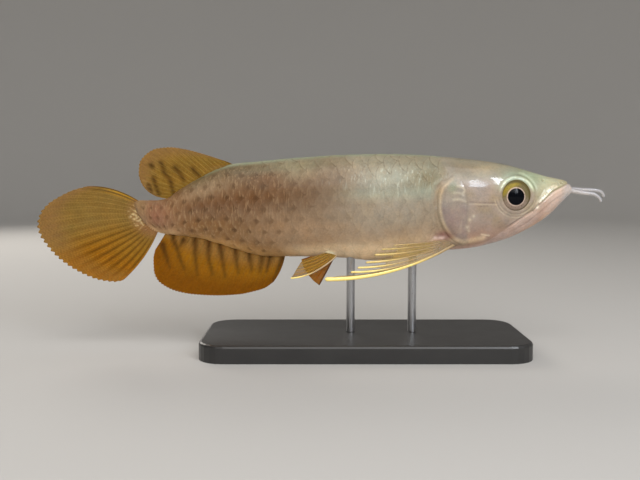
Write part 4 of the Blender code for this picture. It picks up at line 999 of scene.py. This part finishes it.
for side, sign in (("left", 1), ("right", -1)):
    eye = make_eye(side, sign)
    eye.data.materials.append(glassy)
    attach(eye, "root")
    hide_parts(f"eye_{side}")

# The barbels: two soft, silver-white feelers that leave the tip of the lower jaw, run forward side by
# side and curl down at their tips. Each is a tapered round rod with faint creases across it.
BARBEL_ROUTES = {
    "left": [
        (113.5, 1.3, 75.3), (116.0, 1.5, 75.4), (118.5, 1.7, 75.3), (122.5, 2.0, 75.1), (126.2, 2.3, 75.0),
        (129.2, 2.5, 74.9), (131.2, 2.6, 74.5), (132.7, 2.7, 73.3), (133.4, 2.8, 71.6),
    ],
    "right": [
        (113.5, 1.3, 75.3), (115.4, 1.6, 75.2), (117.0, 1.9, 74.8), (119.8, 2.3, 74.1), (122.6, 2.7, 73.7),
        (125.9, 3.1, 73.4), (128.0, 3.3, 72.4), (129.4, 3.4, 71.0), (129.9, 3.5, 69.5),
    ],
}
BARBEL_SIDES = 20
BARBEL_PALE, BARBEL_SHADOW = colour(188, 184, 182), colour(122, 124, 136)


def make_tube(route, radius, sides, flatness=1.0):
    """The rings of points round a line, and the faces between them and over both ends."""
    along = np.gradient(route, axis=0)
    along /= np.linalg.norm(along, axis=1)[:, None]
    out = np.cross(along, [0.0, 1.0, 0.0])
    out /= np.linalg.norm(out, axis=1)[:, None]
    sideways = np.cross(along, out)
    turn = np.linspace(0, 2 * math.pi, sides, endpoint=False)[None, :, None]
    circle = np.cos(turn) * out[:, None] + flatness * np.sin(turn) * sideways[:, None]
    return route[:, None] + radius[:, None, None] * circle, ring_faces(len(route), sides)


def make_barbel(side, sign):
    route = curve_through(BARBEL_ROUTES[side], 90)
    route[:, 1] *= sign
    run = np.linspace(0.0, 1.0, len(route))
    radius = (1.25 - 0.6 * run) * (1 + 0.025 * np.sin(run * 170)) + 0.4 * bump(run, 0.09)
    radius *= np.sqrt(np.clip((1 - run) / 0.03, 0.02, 1.0))
    rings, faces = make_tube(route, radius, BARBEL_SIDES)
    barbel = new_piece(f"barbel_{side}_finished", rings.reshape(-1, 3), faces)
    upward = np.cos(np.linspace(0, 2 * math.pi, BARBEL_SIDES, endpoint=False))
    # The grey is painted shade, laid round one side of each feeler.
    painted_shade_side = ease(0.5 + 0.5 * np.broadcast_to(upward, rings.shape[:2]))
    set_tint(barbel, BARBEL_PALE + (BARBEL_SHADOW - BARBEL_PALE) * 0.55 * painted_shade_side[..., None])
    return barbel


feeler, tree, shader = new_material(
    "barbel_skin", Roughness=0.3, Coat_Weight=0.5, Coat_Roughness=0.08,
    Subsurface_Weight=0.2, Subsurface_Radius=(1.0, 0.8, 0.7), Subsurface_Scale=0.0008,
)
painted = use_effect(tree, pigment, Tint=own_tint(tree), Cloud=0.5, Speckle=0.3)
tree.links.new(painted["Color"], shader.inputs["Base Color"])
for side, sign in (("left", 1), ("right", -1)):
    barbel = make_barbel(side, sign)
    barbel.data.materials.append(feeler)
    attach(barbel, "root")
    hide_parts(f"barbel_{side}")

# The upright fins: the dorsal and anal fins and the fan of the tail. Each is a thin, golden-brown
# membrane stretched on bony rays, which branch twice on their way to the edge and are jointed across.
SUNK = 2.5
DORSAL_ROOT = [(-41.5, 87.0), (-46.4, 85.5), (-52.5, 82.7), (-60.5, 78.4), (-67.0, 74.5), (-71.5, 71.2)]
DORSAL_EDGE = [
    (-46.0, 89.0), (-54.8, 91.8), (-63.3, 94.0), (-70.0, 94.9), (-76.5, 94.3), (-81.5, 91.6),
    (-84.6, 87.2), (-85.0, 82.4), (-83.6, 77.8), (-80.6, 74.1), (-77.5, 72.2),
]
DORSAL_MARKS = [
    [(-78.2, 80.7), (-77.3, 77.5), (-76.4, 74.6), (-75.9, 73.2)],
    [(-80.4, 77.2), (-79.2, 74.4)],
    [(-73.9, 85.8), (-72.8, 82.5), (-70.6, 80.0), (-69.6, 76.0), (-69.0, 73.5)],
    [(-68.1, 85.4), (-65.9, 82.9), (-64.1, 79.6)],
    [(-59.8, 84.9), (-58.6, 83.2), (-57.0, 81.7)],
    [(-79.3, 86.8), (-78.6, 86.0)],
    [(-74.6, 88.0), (-74.0, 87.0)],
]
ANAL_ROOT = [
    (-17.5, 43.9), (-24.0, 43.9), (-31.4, 44.9), (-38.9, 47.0), (-46.9, 49.6), (-56.7, 52.3),
    (-64.7, 53.6), (-73.5, 54.2),
]
ANAL_EDGE = [
    (-22.5, 31.7), (-26.5, 28.9), (-32.0, 27.2), (-39.0, 25.8), (-49.3, 25.3), (-59.5, 25.8),
    (-68.0, 27.3), (-73.6, 29.8), (-77.2, 32.9), (-78.8, 37.5), (-78.9, 42.5), (-78.0, 47.0),
]
ANAL_MARKS = [
    [(-74.5, 49.5), (-72.6, 43.1), (-71.2, 38.6)],
    [(-69.1, 55.8), (-69.3, 52.1), (-67.7, 47.8), (-66.3, 42.7), (-64.4, 37.8)],
    [(-64.6, 51.6), (-66.3, 48.3)],
    [(-59.2, 52.6), (-59.2, 45.5), (-58.3, 35.2)],
    [(-52.6, 51.2), (-52.9, 44.6), (-51.3, 35.6)],
    [(-47.5, 50.0), (-46.8, 44.6), (-45.8, 38.4), (-45.1, 34.2)],
    [(-40.2, 48.0), (-40.0, 43.1), (-38.9, 36.0)],
    [(-33.8, 46.0), (-33.4, 42.2), (-32.7, 37.0)],
    [(-27.5, 44.5), (-28.9, 36.5)],
    [(-24.0, 43.9), (-25.7, 36.5)],
    [(-18.1, 42.7), (-20.7, 36.6), (-23.0, 30.9)],
]
CAUDAL_ROOT = [
    (-86.0, 69.6), (-86.0, 66.5), (-85.6, 63.0), (-84.4, 59.6), (-81.8, 56.6), (-77.5, 54.9),
]
CAUDAL_EDGE = [
    (-109.3, 76.8), (-116.1, 74.9), (-122.2, 72.0), (-127.3, 68.8), (-131.3, 64.2), (-132.8, 58.8),
    (-131.9, 54.4), (-129.2, 49.9), (-124.7, 44.5), (-118.6, 39.5), (-111.1, 35.3), (-103.5, 32.6),
    (-97.0, 31.9), (-93.3, 32.6),
]
CAUDAL_BEADS = [
    (-86.3, 65.4), (-88.3, 63.8), (-86.4, 63.2), (-84.7, 61.9), (-85.0, 60.6), (-82.6, 63.3), (-87.0, 61.6),
]


def fin_ridges(c, s, rays):
    """Height of the rays over the membrane, from 0 to 1: each forks at a third and at two thirds."""
    nearest = np.round(c)
    off = c - nearest
    whole = (nearest < 0.5) | (nearest > rays - 1.5)
    first, second = 0.17 * ease((s - 0.3) / 0.35), 0.085 * ease((s - 0.62) / 0.3)
    width = 0.085 - 0.035 * s
    forked = np.zeros_like(off)
    for one in (-1, 1):
        for two in (-1, 1):
            forked = np.maximum(forked, bump(off - one * first - two * second, width))
    return np.where(whole, bump(off, 0.13), forked)


def plain_ridges(c, spacing, thick_to, width):
    """The same for rays that don't fork, behind a first one that is as wide as its share of the fin."""
    off = np.where(c > thick_to + 0.05, (c - np.maximum(np.round(c), 1.0)) * spacing, 9.0)
    first = np.sqrt(np.clip(1 - ((c - 0.5 * thick_to) / (0.62 * thick_to)) ** 2, 0.0, 1.0))
    return np.maximum(bump(off, width), first)


def make_fin(
    name, columns_at, rays, samples, steps, ray_height=0.3, leading=0.6, film=0.1, notch=0.0,
    thick_to=0.0, width=0.4, fringe=0.006,
):
    """A fin from a function that gives the line of points along any ray."""
    across = np.linspace(0.0, rays - 1.0, (rays - 1) * samples + 1)
    share = 1 - (1 - np.linspace(0.0, 1.0, steps + 1)) ** 1.15
    frac = np.minimum(across % 1.0, 1 - across % 1.0)
    frac = np.where(across < 0.5, across - 0.25, frac)
    ripple = (0.0 if thick_to else fringe) * np.cos(across * 4 * math.pi)
    reach = 1 - notch * ease((frac - 0.2) / 0.16) - ripple
    lines = np.array([columns_at(c / (rays - 1.0), share * r) for c, r in zip(across, reach)])
    normals = np.cross(np.gradient(lines, axis=0), np.gradient(lines, axis=1))
    normals /= np.linalg.norm(normals, axis=2)[..., None]
    c, s = np.meshgrid(across, share, indexing="ij")
    if thick_to:
        down = np.gradient(lines, axis=1)
        down /= np.linalg.norm(down, axis=2)[..., None]
        spacing = np.linalg.norm(np.cross(np.gradient(lines, axis=0), down), axis=2) * samples
        ridges = plain_ridges(c, spacing, thick_to, width)
        taper = 0.6 + 0.4 * (1 - s)
    else:
        ridges = fin_ridges(c, s, rays)
        taper = 0.22 + 0.78 * (1 - s) ** 0.6
    first_ray = ease(1 - c / 0.6)
    half = film + (ray_height + (leading - ray_height) * first_ray) * ridges * taper
    half *= 0.4 + 0.6 * ease((1 - s) / 0.04)
    front, back = lines + normals * half[..., None], lines - normals * half[..., None]
    count, rows = c.shape
    total = count * rows
    faces = []
    for i in range(count - 1):
        for j in range(rows - 1):
            a = i * rows + j
            faces.append((a, a + rows, a + rows + 1, a + 1))
            faces.append((total + a, total + a + 1, total + a + rows + 1, total + a + rows))
    rim = border_of(np.arange(total).reshape(count, rows).T)
    for n, v in enumerate(rim):
        w = rim[(n + 1) % len(rim)]
        faces.append((v, v + total, w + total, w))
    fin = new_piece(name, np.concatenate([front.reshape(-1, 3), back.reshape(-1, 3)]), faces)
    set_uv(fin, "rays", np.tile(np.stack([c / (rays - 1), s], axis=-1).reshape(-1, 2), (2, 1)))
    set_mask(fin, "ray", np.tile(ridges.ravel(), 2))
    return fin, c, s, lines[..., 0], lines[..., 2], ridges


def finish_fin(fin, tint, dense, node):
    """Paints a fin, the same on both faces, gives it the membrane, attaches it to the fish and hides the part
    that it replaces.
    """
    set_tint(fin, np.tile(tint.reshape(-1, 3), (2, 1)))
    set_mask(fin, "dense", np.tile(np.clip(dense, 0.0, 1.0).ravel(), 2))
    fin.data.materials.append(membrane)
    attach(fin, "root")
    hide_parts(node)


def coat(shade, paint, strength):
    """Lays a paint over the colours of a fin."""
    shade += (paint - shade) * np.clip(strength, 0.0, 1.0)[..., None]


def at_share(curve, share):
    """The point at a share of the way along evenly spaced points."""
    steps = np.arange(len(curve))
    return np.array([np.interp(share * steps[-1], steps, part) for part in curve.T])


def upright(root_line, edge_line, leans):
    """Points along any ray of a fin on the middle plane."""
    roots, ends = curve_through(root_line, 200), curve_through(edge_line, 200)

    def columns_at(share, along_ray):
        root, end = at_share(roots, share), at_share(ends, share)
        length = np.linalg.norm(end - root)
        start = root - (end - root) / length * SUNK
        lean = (np.array(leans[0]) * (1 - share) + np.array(leans[1]) * share) * length
        t = along_ray[:, None]
        flat = start + (end - start) * t + lean * 4 * t * (1 - t)
        return np.column_stack([flat[:, 0], np.zeros(len(flat)), flat[:, 1]])

    return columns_at


FIN_OLIVE, FIN_GOLD, FIN_ORANGE = colour(122, 99, 48), colour(123, 97, 38), colour(138, 88, 2)
FIN_MARGIN, FIN_MARK, FIN_RAY = colour(121, 93, 57), colour(60, 40, 8), colour(144, 116, 50)
FIN_BASE, FIN_AMBER, FIN_JOINT = colour(120, 96, 54), colour(144, 100, 8), colour(84, 54, 20)
ANAL_BROWN, ANAL_AMBER = colour(128, 96, 48), colour(128, 86, 8)
ANAL_EDGE_ORANGE, ANAL_REAR = colour(110, 67, 0), colour(120, 74, 0)
CAUDAL_LEADING, CAUDAL_BEAD, CAUDAL_FLECK = colour(190, 146, 44), colour(214, 196, 138), colour(200, 182, 136)

membrane, tree, shader = new_material(
    "fin_membrane", Roughness=0.5, Coat_Weight=0.02, Coat_Roughness=0.15, Specular_IOR_Level=0.08,
    Subsurface_Weight=0.25, Subsurface_Radius=(1.0, 0.55, 0.2), Subsurface_Scale=0.0015,
)
painted = use_effect(tree, pigment, Tint=own_tint(tree), Cloud=0.5, Speckle=0.8)
on_ray = add_node(tree, "ShaderNodeUVMap", {"uv_map": "rays"}).outputs["UV"]
along = add_node(tree, "ShaderNodeSeparateXYZ", Vector=on_ray).outputs["Y"]
joints = compute(tree, "SINE", times(tree, along, 230.0))
jointed = times(tree, rise(tree, joints, 0.5, 1.0), times(tree, mask(tree, "ray"), 0.35))
shade = paint_over(tree, painted["Color"], FIN_JOINT, jointed)
tree.links.new(shade, shader.inputs["Base Color"])
tree.links.new(mask(tree, "dense"), shader.inputs["Alpha"])
emboss(tree, shader, 0.2, 0.0002, joints)


def streaks(x, z, marks, wide, narrow, fading):
    """Dark marks along lines, which narrow and fade from their first point to their last."""
    shade = np.zeros(x.shape)
    for mark in marks:
        distance, share = from_line(x, z, mark)
        shade = np.maximum(shade, bump(distance, wide + (narrow - wide) * share) * (1 - fading * share))
    return shade


def between_rays(c, width):
    return bump(c % 1.0 - 0.5, width)


def solid_to(s, share, ridges):
    """How little of the air behind shows through: a trace, beyond a share of the rays' length."""
    return 0.98 + 0.02 * np.maximum(ridges, ease((share - s) / 0.2))


dorsal = upright(DORSAL_ROOT, DORSAL_EDGE, [(0.0, 0.05), (0.0, -0.05)])
fin, c, s, x, z, ridges = make_fin("dorsal_fin_finished", dorsal, 19, 12, 44)
tint = np.tile(FIN_GOLD, x.shape + (1,))
coat(tint, FIN_MARGIN, 0.8 * ease((s - 0.6) / 0.35))
coat(tint, FIN_BASE, ease((0.36 - s) / 0.2) * ease((7.0 - c) / 5.0))
coat(tint, FIN_RAY, 0.25 * ridges)
coat(tint, FIN_MARK, 0.28 * between_rays(c, 0.2) * ease((0.8 - s) / 0.3))
marks = streaks(x, z, DORSAL_MARKS, 1.3, 1.1, 0.0)
coat(tint, FIN_MARK, 0.85 * marks * (1 - 0.35 * between_rays(c, 0.2)))
finish_fin(fin, tint, solid_to(s, 0.4, ridges), "dorsal_fin")

anal = upright(ANAL_ROOT, ANAL_EDGE, [(0.07, -0.05), (0.05, 0.05)])
fin, c, s, x, z, ridges = make_fin("anal_fin_finished", anal, 25, 11, 50)
tint = np.tile(ANAL_BROWN, x.shape + (1,))
coat(tint, ANAL_AMBER, ease((s - 0.16) / 0.32))
coat(tint, ANAL_EDGE_ORANGE, ease((s - 0.45) / 0.4))
coat(tint, ANAL_REAR, 0.6 * ease((c - 18.0) / 4.0) * ease((s - 0.3) / 0.3))
coat(tint, FIN_RAY, 0.2 * ridges * ease((1 - s) / 0.6))
coat(tint, FIN_MARK, 0.95 * streaks(x, z, ANAL_MARKS, 1.7, 0.9, 0.5))
finish_fin(fin, tint, solid_to(s, 0.5, ridges), "anal_fin")

caudal = upright(CAUDAL_ROOT, CAUDAL_EDGE, [(0.0, 0.1), (0.06, -0.03)])
fin, c, s, x, z, ridges = make_fin("caudal_fin_finished", caudal, 17, 16, 60, fringe=0.01)
lower = ease((c - 6.5) / 4.0)
tint = np.tile(FIN_OLIVE, x.shape + (1,))
coat(tint, FIN_AMBER, 0.75 * lower * ease(s / 0.5))
coat(tint, FIN_ORANGE, 0.85 * lower * ease((s - 0.4) / 0.35) * ease((c - 8.0) / 3.0))
coat(tint, FIN_MARGIN, 0.8 * ease((s - 0.7) / 0.2) * (1 - 0.65 * lower))
coat(tint, FIN_RAY, 0.25 * ridges)
gaps = between_rays(c, 0.22) * ease((s - 0.05) / 0.2) * ease((1.0 - s) / 0.35)
coat(tint, FIN_MARK, (0.2 + 0.5 * lower) * gaps)
leading = bump(c - 0.55, 0.22) + 0.5 * bump(c - 1.5, 0.2)
coat(tint, CAUDAL_LEADING, 0.75 * leading * ease((0.8 - s) / 0.5))
between = bump(c - 0.12, 0.14) + bump(c - 1.0, 0.16)
coat(tint, FIN_MARK, 0.65 * between * ease((0.97 - s) / 0.3))
for bead in CAUDAL_BEADS:
    coat(tint, CAUDAL_BEAD, 0.8 * near_spot(x, z, bead, 0.55))
flecks = uneven(x * 1.3, z * 1.5, 1.7) * ease((0.26 - s) / 0.2) * bump(c - 6.5, 5.5)
coat(tint, STALK, 0.85 * ease((0.22 - s) / 0.16))
coat(tint, CAUDAL_FLECK, 0.6 * ease((flecks - 0.3) / 0.3))
finish_fin(fin, tint, solid_to(s, 0.3, ridges), "caudal_fin")

# The paired fins: the long, half-folded pectoral fins behind the gills, with a thick cream leading ray
# and free ray tips, and the small pelvic fins under the belly, spread a little differently each side.
PECTORAL_ROOT = [(59.8, 4.6, 49.4), (59.0, 5.6, 50.6), (57.8, 6.4, 51.8)]
PECTORAL_TIPS = {
    "left": [
        (1.8, 24.5, 42.6), (13.2, 22.5, 44.6), (16.4, 21.3, 45.9), (20.2, 20.0, 47.2), (24.3, 18.6, 49.0),
        (27.4, 17.4, 50.4), (33.0, 16.0, 51.4),
    ],
    "right": [
        (1.8, 24.0, 36.3), (13.2, 22.0, 39.2), (16.4, 20.8, 41.1), (20.2, 19.4, 43.3), (24.3, 17.8, 46.6),
        (27.4, 16.8, 48.9), (33.0, 15.6, 50.5),
    ],
}
PECTORAL_BOW = {"left": 1.6, "right": 4.0}
PELVIC_ROOT = [(6.6, 2.0, 44.6), (5.0, 2.6, 45.4), (3.0, 3.0, 46.2)]
PELVIC_TIPS = {
    "left": [
        (-1.0, 7.5, 29.2), (-3.4, 8.0, 31.0), (-5.6, 8.2, 33.4), (-7.4, 8.3, 36.0), (-8.8, 8.2, 39.0),
        (-9.4, 8.0, 41.6),
    ],
    "right": [
        (-14.0, 9.5, 34.8), (-12.6, 9.6, 36.6), (-11.6, 9.5, 38.4), (-10.6, 9.3, 40.0), (-9.6, 9.0, 41.6),
        (-8.6, 8.6, 42.8),
    ],
}
PELVIC_BOW = {"left": 0.4, "right": 2.6}
PELVIC_FILM = {"left": colour(156, 98, 16), "right": colour(142, 104, 32)}
PELVIC_RIDGE = {"left": colour(134, 80, 12), "right": colour(184, 150, 76)}
PELVIC_SOLID = {"left": 0.78, "right": 0.52}
PELVIC_FAR_RAY = colour(104, 64, 14)
PALE_RAY, PALE_MEMBRANE, RAY_ROOT = colour(255, 228, 138), colour(178, 147, 78), colour(168, 144, 108)
PECTORAL_BASE = colour(172, 151, 122)


def paired(root_line, ray_tips, bow, sign):
    """Points along any ray of a fin on one flank, each ray ending at its own tip."""
    roots = curve_through(root_line, 200)
    numbers = np.arange(len(ray_tips), dtype=float)
    ray_tips = np.array(ray_tips)

    def columns_at(share, along_ray):
        root = at_share(roots, share)
        number = share * numbers[-1]
        end = np.array([smooth(np.column_stack([numbers, part]), number) for part in ray_tips.T])
        start = root - (end - root) / np.linalg.norm(end - root) * SUNK
        t = along_ray[:, None]
        bend = np.array([0.0, 0.5, -1.0]) * bow * (1 - share)
        return (start + (end - start) * t + bend * 4 * t * (1 - t)) * (1, sign, 1)

    return columns_at


def make_rays(name, columns_at, shares, root_radius, tip_radius, pale_from=0.05):
    """Round rays in a fin, each a tapered rod with a blunt tip, from lines at shares of its width."""
    sides, steps = 12, 60
    blunt = 1 - 0.015 * (1 - np.sin(np.linspace(0.2, math.pi / 2, 6)))
    run = np.concatenate([np.linspace(0.0, 0.985, steps - 6), blunt])
    vertices, faces, tints = [], [], []
    for number, share in enumerate(shares):
        radius = root_radius[number] + (tip_radius[number] - root_radius[number]) * run
        radius = radius * np.sqrt(np.clip((1.002 - run) / 0.014, 0.02, 1.0))
        rings, tube = make_tube(columns_at(share, run), radius, sides, 0.75)
        first = number * steps * sides
        faces += [tuple(first + v for v in face) for face in tube]
        vertices.append(rings.reshape(-1, 3))
        bright = ease((run - (pale_from if number == 0 else 0.5)) / 0.35) * (1 - 0.13 * number)
        shade = RAY_ROOT + (PALE_RAY - RAY_ROOT) * bright[:, None]
        tints.append(np.repeat(shade, sides, axis=0))
    rays = new_piece(name, np.concatenate(vertices), faces)
    set_tint(rays, np.concatenate(tints))
    return rays


horny, tree, shader = new_material(
    "fin_ray", Roughness=0.35, Coat_Weight=0.25, Coat_Roughness=0.15, Specular_IOR_Level=0.3,
    Subsurface_Weight=0.25, Subsurface_Radius=(1.0, 0.7, 0.4), Subsurface_Scale=0.001,
)
painted = use_effect(tree, pigment, Tint=own_tint(tree), Cloud=0.25, Speckle=0.3)
tree.links.new(painted["Color"], shader.inputs["Base Color"])

for side, sign in (("left", 1), ("right", -1)):
    lines = paired(PECTORAL_ROOT, PECTORAL_TIPS[side], PECTORAL_BOW[side], sign)
    fin, c, s, x, z, ridges = make_fin(
        f"pectoral_fin_{side}_finished", lines, 7, 12, 60, ray_height=0.06, leading=0.1, film=0.07,
        notch=0.25, thick_to=0.02, width=0.3,
    )
    tint = np.tile(PALE_MEMBRANE, x.shape + (1,))
    coat(tint, PECTORAL_BASE, ease((0.5 - s) / 0.3))
    dense = 0.36 + 0.2 * ease((0.3 - s) / 0.25)
    finish_fin(fin, tint, dense, f"pectoral_fin_{side}")
    rays = make_rays(
        f"pectoral_rays_{side}", lines, [0.0, 0.17, 0.33, 0.5, 0.66, 0.83, 1.0],
        [0.8, 0.1, 0.1, 0.1, 0.1, 0.1, 0.1], [0.95, 0.46, 0.46, 0.44, 0.4, 0.32, 0.24],
    )
    rays.data.materials.append(horny)
    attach(rays, "root")
    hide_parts(f"pectoral_fin_{side}")

    lines = paired(PELVIC_ROOT, PELVIC_TIPS[side], PELVIC_BOW[side], sign)
    fin, c, s, x, z, ridges = make_fin(
        f"pelvic_fin_{side}_finished", lines, 6, 12, 40, ray_height=0.1, leading=0.15, film=0.07,
        thick_to=0.02, width=0.35,
    )
    tint = np.tile(PELVIC_FILM[side], x.shape + (1,))
    coat(tint, PELVIC_RIDGE[side], 0.4 * ridges)
    dense = np.maximum(PELVIC_SOLID[side] + 0.12 * ridges, ease((0.3 - s) / 0.25))
    finish_fin(fin, tint, dense, f"pelvic_fin_{side}")
    rays = make_rays(f"pelvic_ray_{side}", lines, [0.0], [0.4], [0.36], 0.5)
    if side == "left":
        set_tint(rays, np.tile(PELVIC_FAR_RAY, (len(rays.data.vertices), 1)))
    rays.data.materials.append(horny)
    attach(rays, "root")
    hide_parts(f"pelvic_fin_{side}")

# The display stand: a black, satin base plate with rounded corners, and two slim steel rods up to the
# keel, brushed along their length.
BASE_BLACK, BASE_DUST = colour(26, 26, 27), colour(44, 43, 42)
STEEL_DARK, STEEL_LIGHT = colour(160, 160, 162), colour(205, 205, 207)
plinth, tree, shader = new_material("satin_black_base", Roughness=0.45, Coat_Weight=0.2, Coat_Roughness=0.25)
place = object_place(tree)
dust = noise(tree, place, 55.0, 5.0, 0.6)
tree.links.new(paint_over(tree, BASE_BLACK, BASE_DUST, dust), shader.inputs["Base Color"])
tree.links.new(plus(tree, times(tree, dust, 0.16), 0.36), shader.inputs["Roughness"])
emboss(tree, shader, 0.15, 0.0001, noise(tree, place, 2200.0, 2.0))
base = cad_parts["stand_base"]
base.data.materials.clear()
base.data.materials.append(plinth)

steel, tree, shader = new_material("brushed_steel_rod", Metallic=1.0, Roughness=0.28)
brushed = noise(tree, stretched(tree, object_place(tree), 0.0, (1.0, 1.0, 0.05)), 2600.0, 2.0)
tree.links.new(paint_over(tree, STEEL_DARK, STEEL_LIGHT, brushed), shader.inputs["Base Color"])
tree.links.new(plus(tree, times(tree, brushed, 0.2), 0.2), shader.inputs["Roughness"])
for name in ("stand_rod_front", "stand_rod_rear"):
    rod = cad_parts[name]
    rod.data.materials.clear()
    rod.data.materials.append(steel)

# The studio: a round pale floor that curves up into its own wall, soft lamps in front, above and behind,
# small ones that glint on the eye and the nape, and the camera at the fish's right side, looking a little
# down on it.
FLOOR_RADIUS, COVE_RADIUS, WALL_TOP, TURNS = 1.1, 0.6, 2.4, 96
profile = [(FLOOR_RADIUS, 0.0)]
for angle in np.linspace(0.1, math.pi / 2, 16):
    profile.append((FLOOR_RADIUS + COVE_RADIUS * math.sin(angle), COVE_RADIUS * (1 - math.cos(angle))))
profile.append((FLOOR_RADIUS + COVE_RADIUS, WALL_TOP))
vertices, faces = [(0.0, 0.0, 0.0)], []
for radius, height in profile:
    for k in range(TURNS):
        angle = 2 * math.pi * k / TURNS
        vertices.append((radius * math.cos(angle), radius * math.sin(angle), height))
for k in range(TURNS):
    faces.append((0, 1 + k, 1 + (k + 1) % TURNS))
for n in range(len(profile) - 1):
    for k in range(TURNS):
        a, b = 1 + n * TURNS + k, 1 + n * TURNS + (k + 1) % TURNS
        faces.append((a, a + TURNS, b + TURNS, b))
stage = new_piece("studio_floor", np.array(vertices) / MM, faces)
paper, tree, shader = new_material("pale_paper", Base_Color=(0.5, 0.49, 0.475, 1.0), Roughness=0.85)
stage.data.materials.append(paper)

world = bpy.data.worlds.new("studio_air")
bpy.context.scene.world = world
world.use_nodes = True
air = world.node_tree.nodes["Background"].inputs
air["Color"].default_value = (1.0, 0.985, 0.96, 1.0)
air["Strength"].default_value = 0.6
bpy.context.scene.view_settings.view_transform = "Standard"


def add_lamp(name, place, aim, size, power, tint=(1.0, 1.0, 1.0)):
    """A soft lamp of a width and a height, aimed at a point."""
    lamp = bpy.data.lights.new(name, "AREA")
    lamp.shape = "RECTANGLE"
    lamp.size, lamp.size_y = size
    lamp.energy, lamp.color = power, tint
    holder = bpy.data.objects.new(name, lamp)
    bpy.context.scene.collection.objects.link(holder)
    holder.location = place
    holder.rotation_euler = (Vector(aim) - Vector(place)).to_track_quat("-Z", "Y").to_euler()
    return holder


add_lamp("key_lamp", (0.1, -0.6, 0.65), (0.02, 0.0, 0.06), (0.8, 0.8), 5.9, (1.0, 0.97, 0.94))
low_lamp = add_lamp("low_lamp", (-0.2, -0.7, 0.06), (0.0, 0.0, 0.06), (0.5, 0.1), 1.8, (1.0, 0.94, 0.86))
add_lamp("small_lamp", (0.31, -0.57, 0.32), (0.071, -0.01, 0.078), (0.035, 0.2), 0.5, (0.76, 0.87, 1.0))
low_lamp.visible_glossy = False
add_lamp("eye_lamp", (0.39, -0.51, 0.35), (0.08, -0.01, 0.078), (0.035, 0.22), 0.55, (0.9, 0.95, 1.0))
glint_lamp = add_lamp(
    "glint_lamp", (0.39, -0.51, 0.36), (0.08, -0.01, 0.078), (0.055, 0.2), 0.7, (0.9, 0.95, 1.0),
)
glint_lamp.visible_diffuse = False
add_lamp("nape_lamp", (0.14, -0.46, 0.54), (0.05, -0.01, 0.08), (0.025, 0.03), 0.06, (0.95, 0.97, 1.0))
add_lamp("back_lamp", (-0.45, 0.6, 0.45), (-0.05, 0.0, 0.06), (0.4, 0.4), 2.6, (1.0, 0.95, 0.88))

CAMERA_TARGET = Vector((-0.00047, 0.0, 0.0516))
CAMERA_DISTANCE, CAMERA_PITCH = 0.376, math.radians(5.0)
camera = bpy.data.objects.new("camera", bpy.data.cameras.new("camera"))
bpy.context.scene.collection.objects.link(camera)
sight = Vector((0.0, math.cos(CAMERA_PITCH), -math.sin(CAMERA_PITCH)))
camera.location = CAMERA_TARGET - sight * CAMERA_DISTANCE
camera.rotation_euler = sight.to_track_quat("-Z", "Y").to_euler()
camera.data.lens, camera.data.sensor_width = 45.0, 36.0
camera.data.clip_start = 0.01
bpy.context.scene.camera = camera
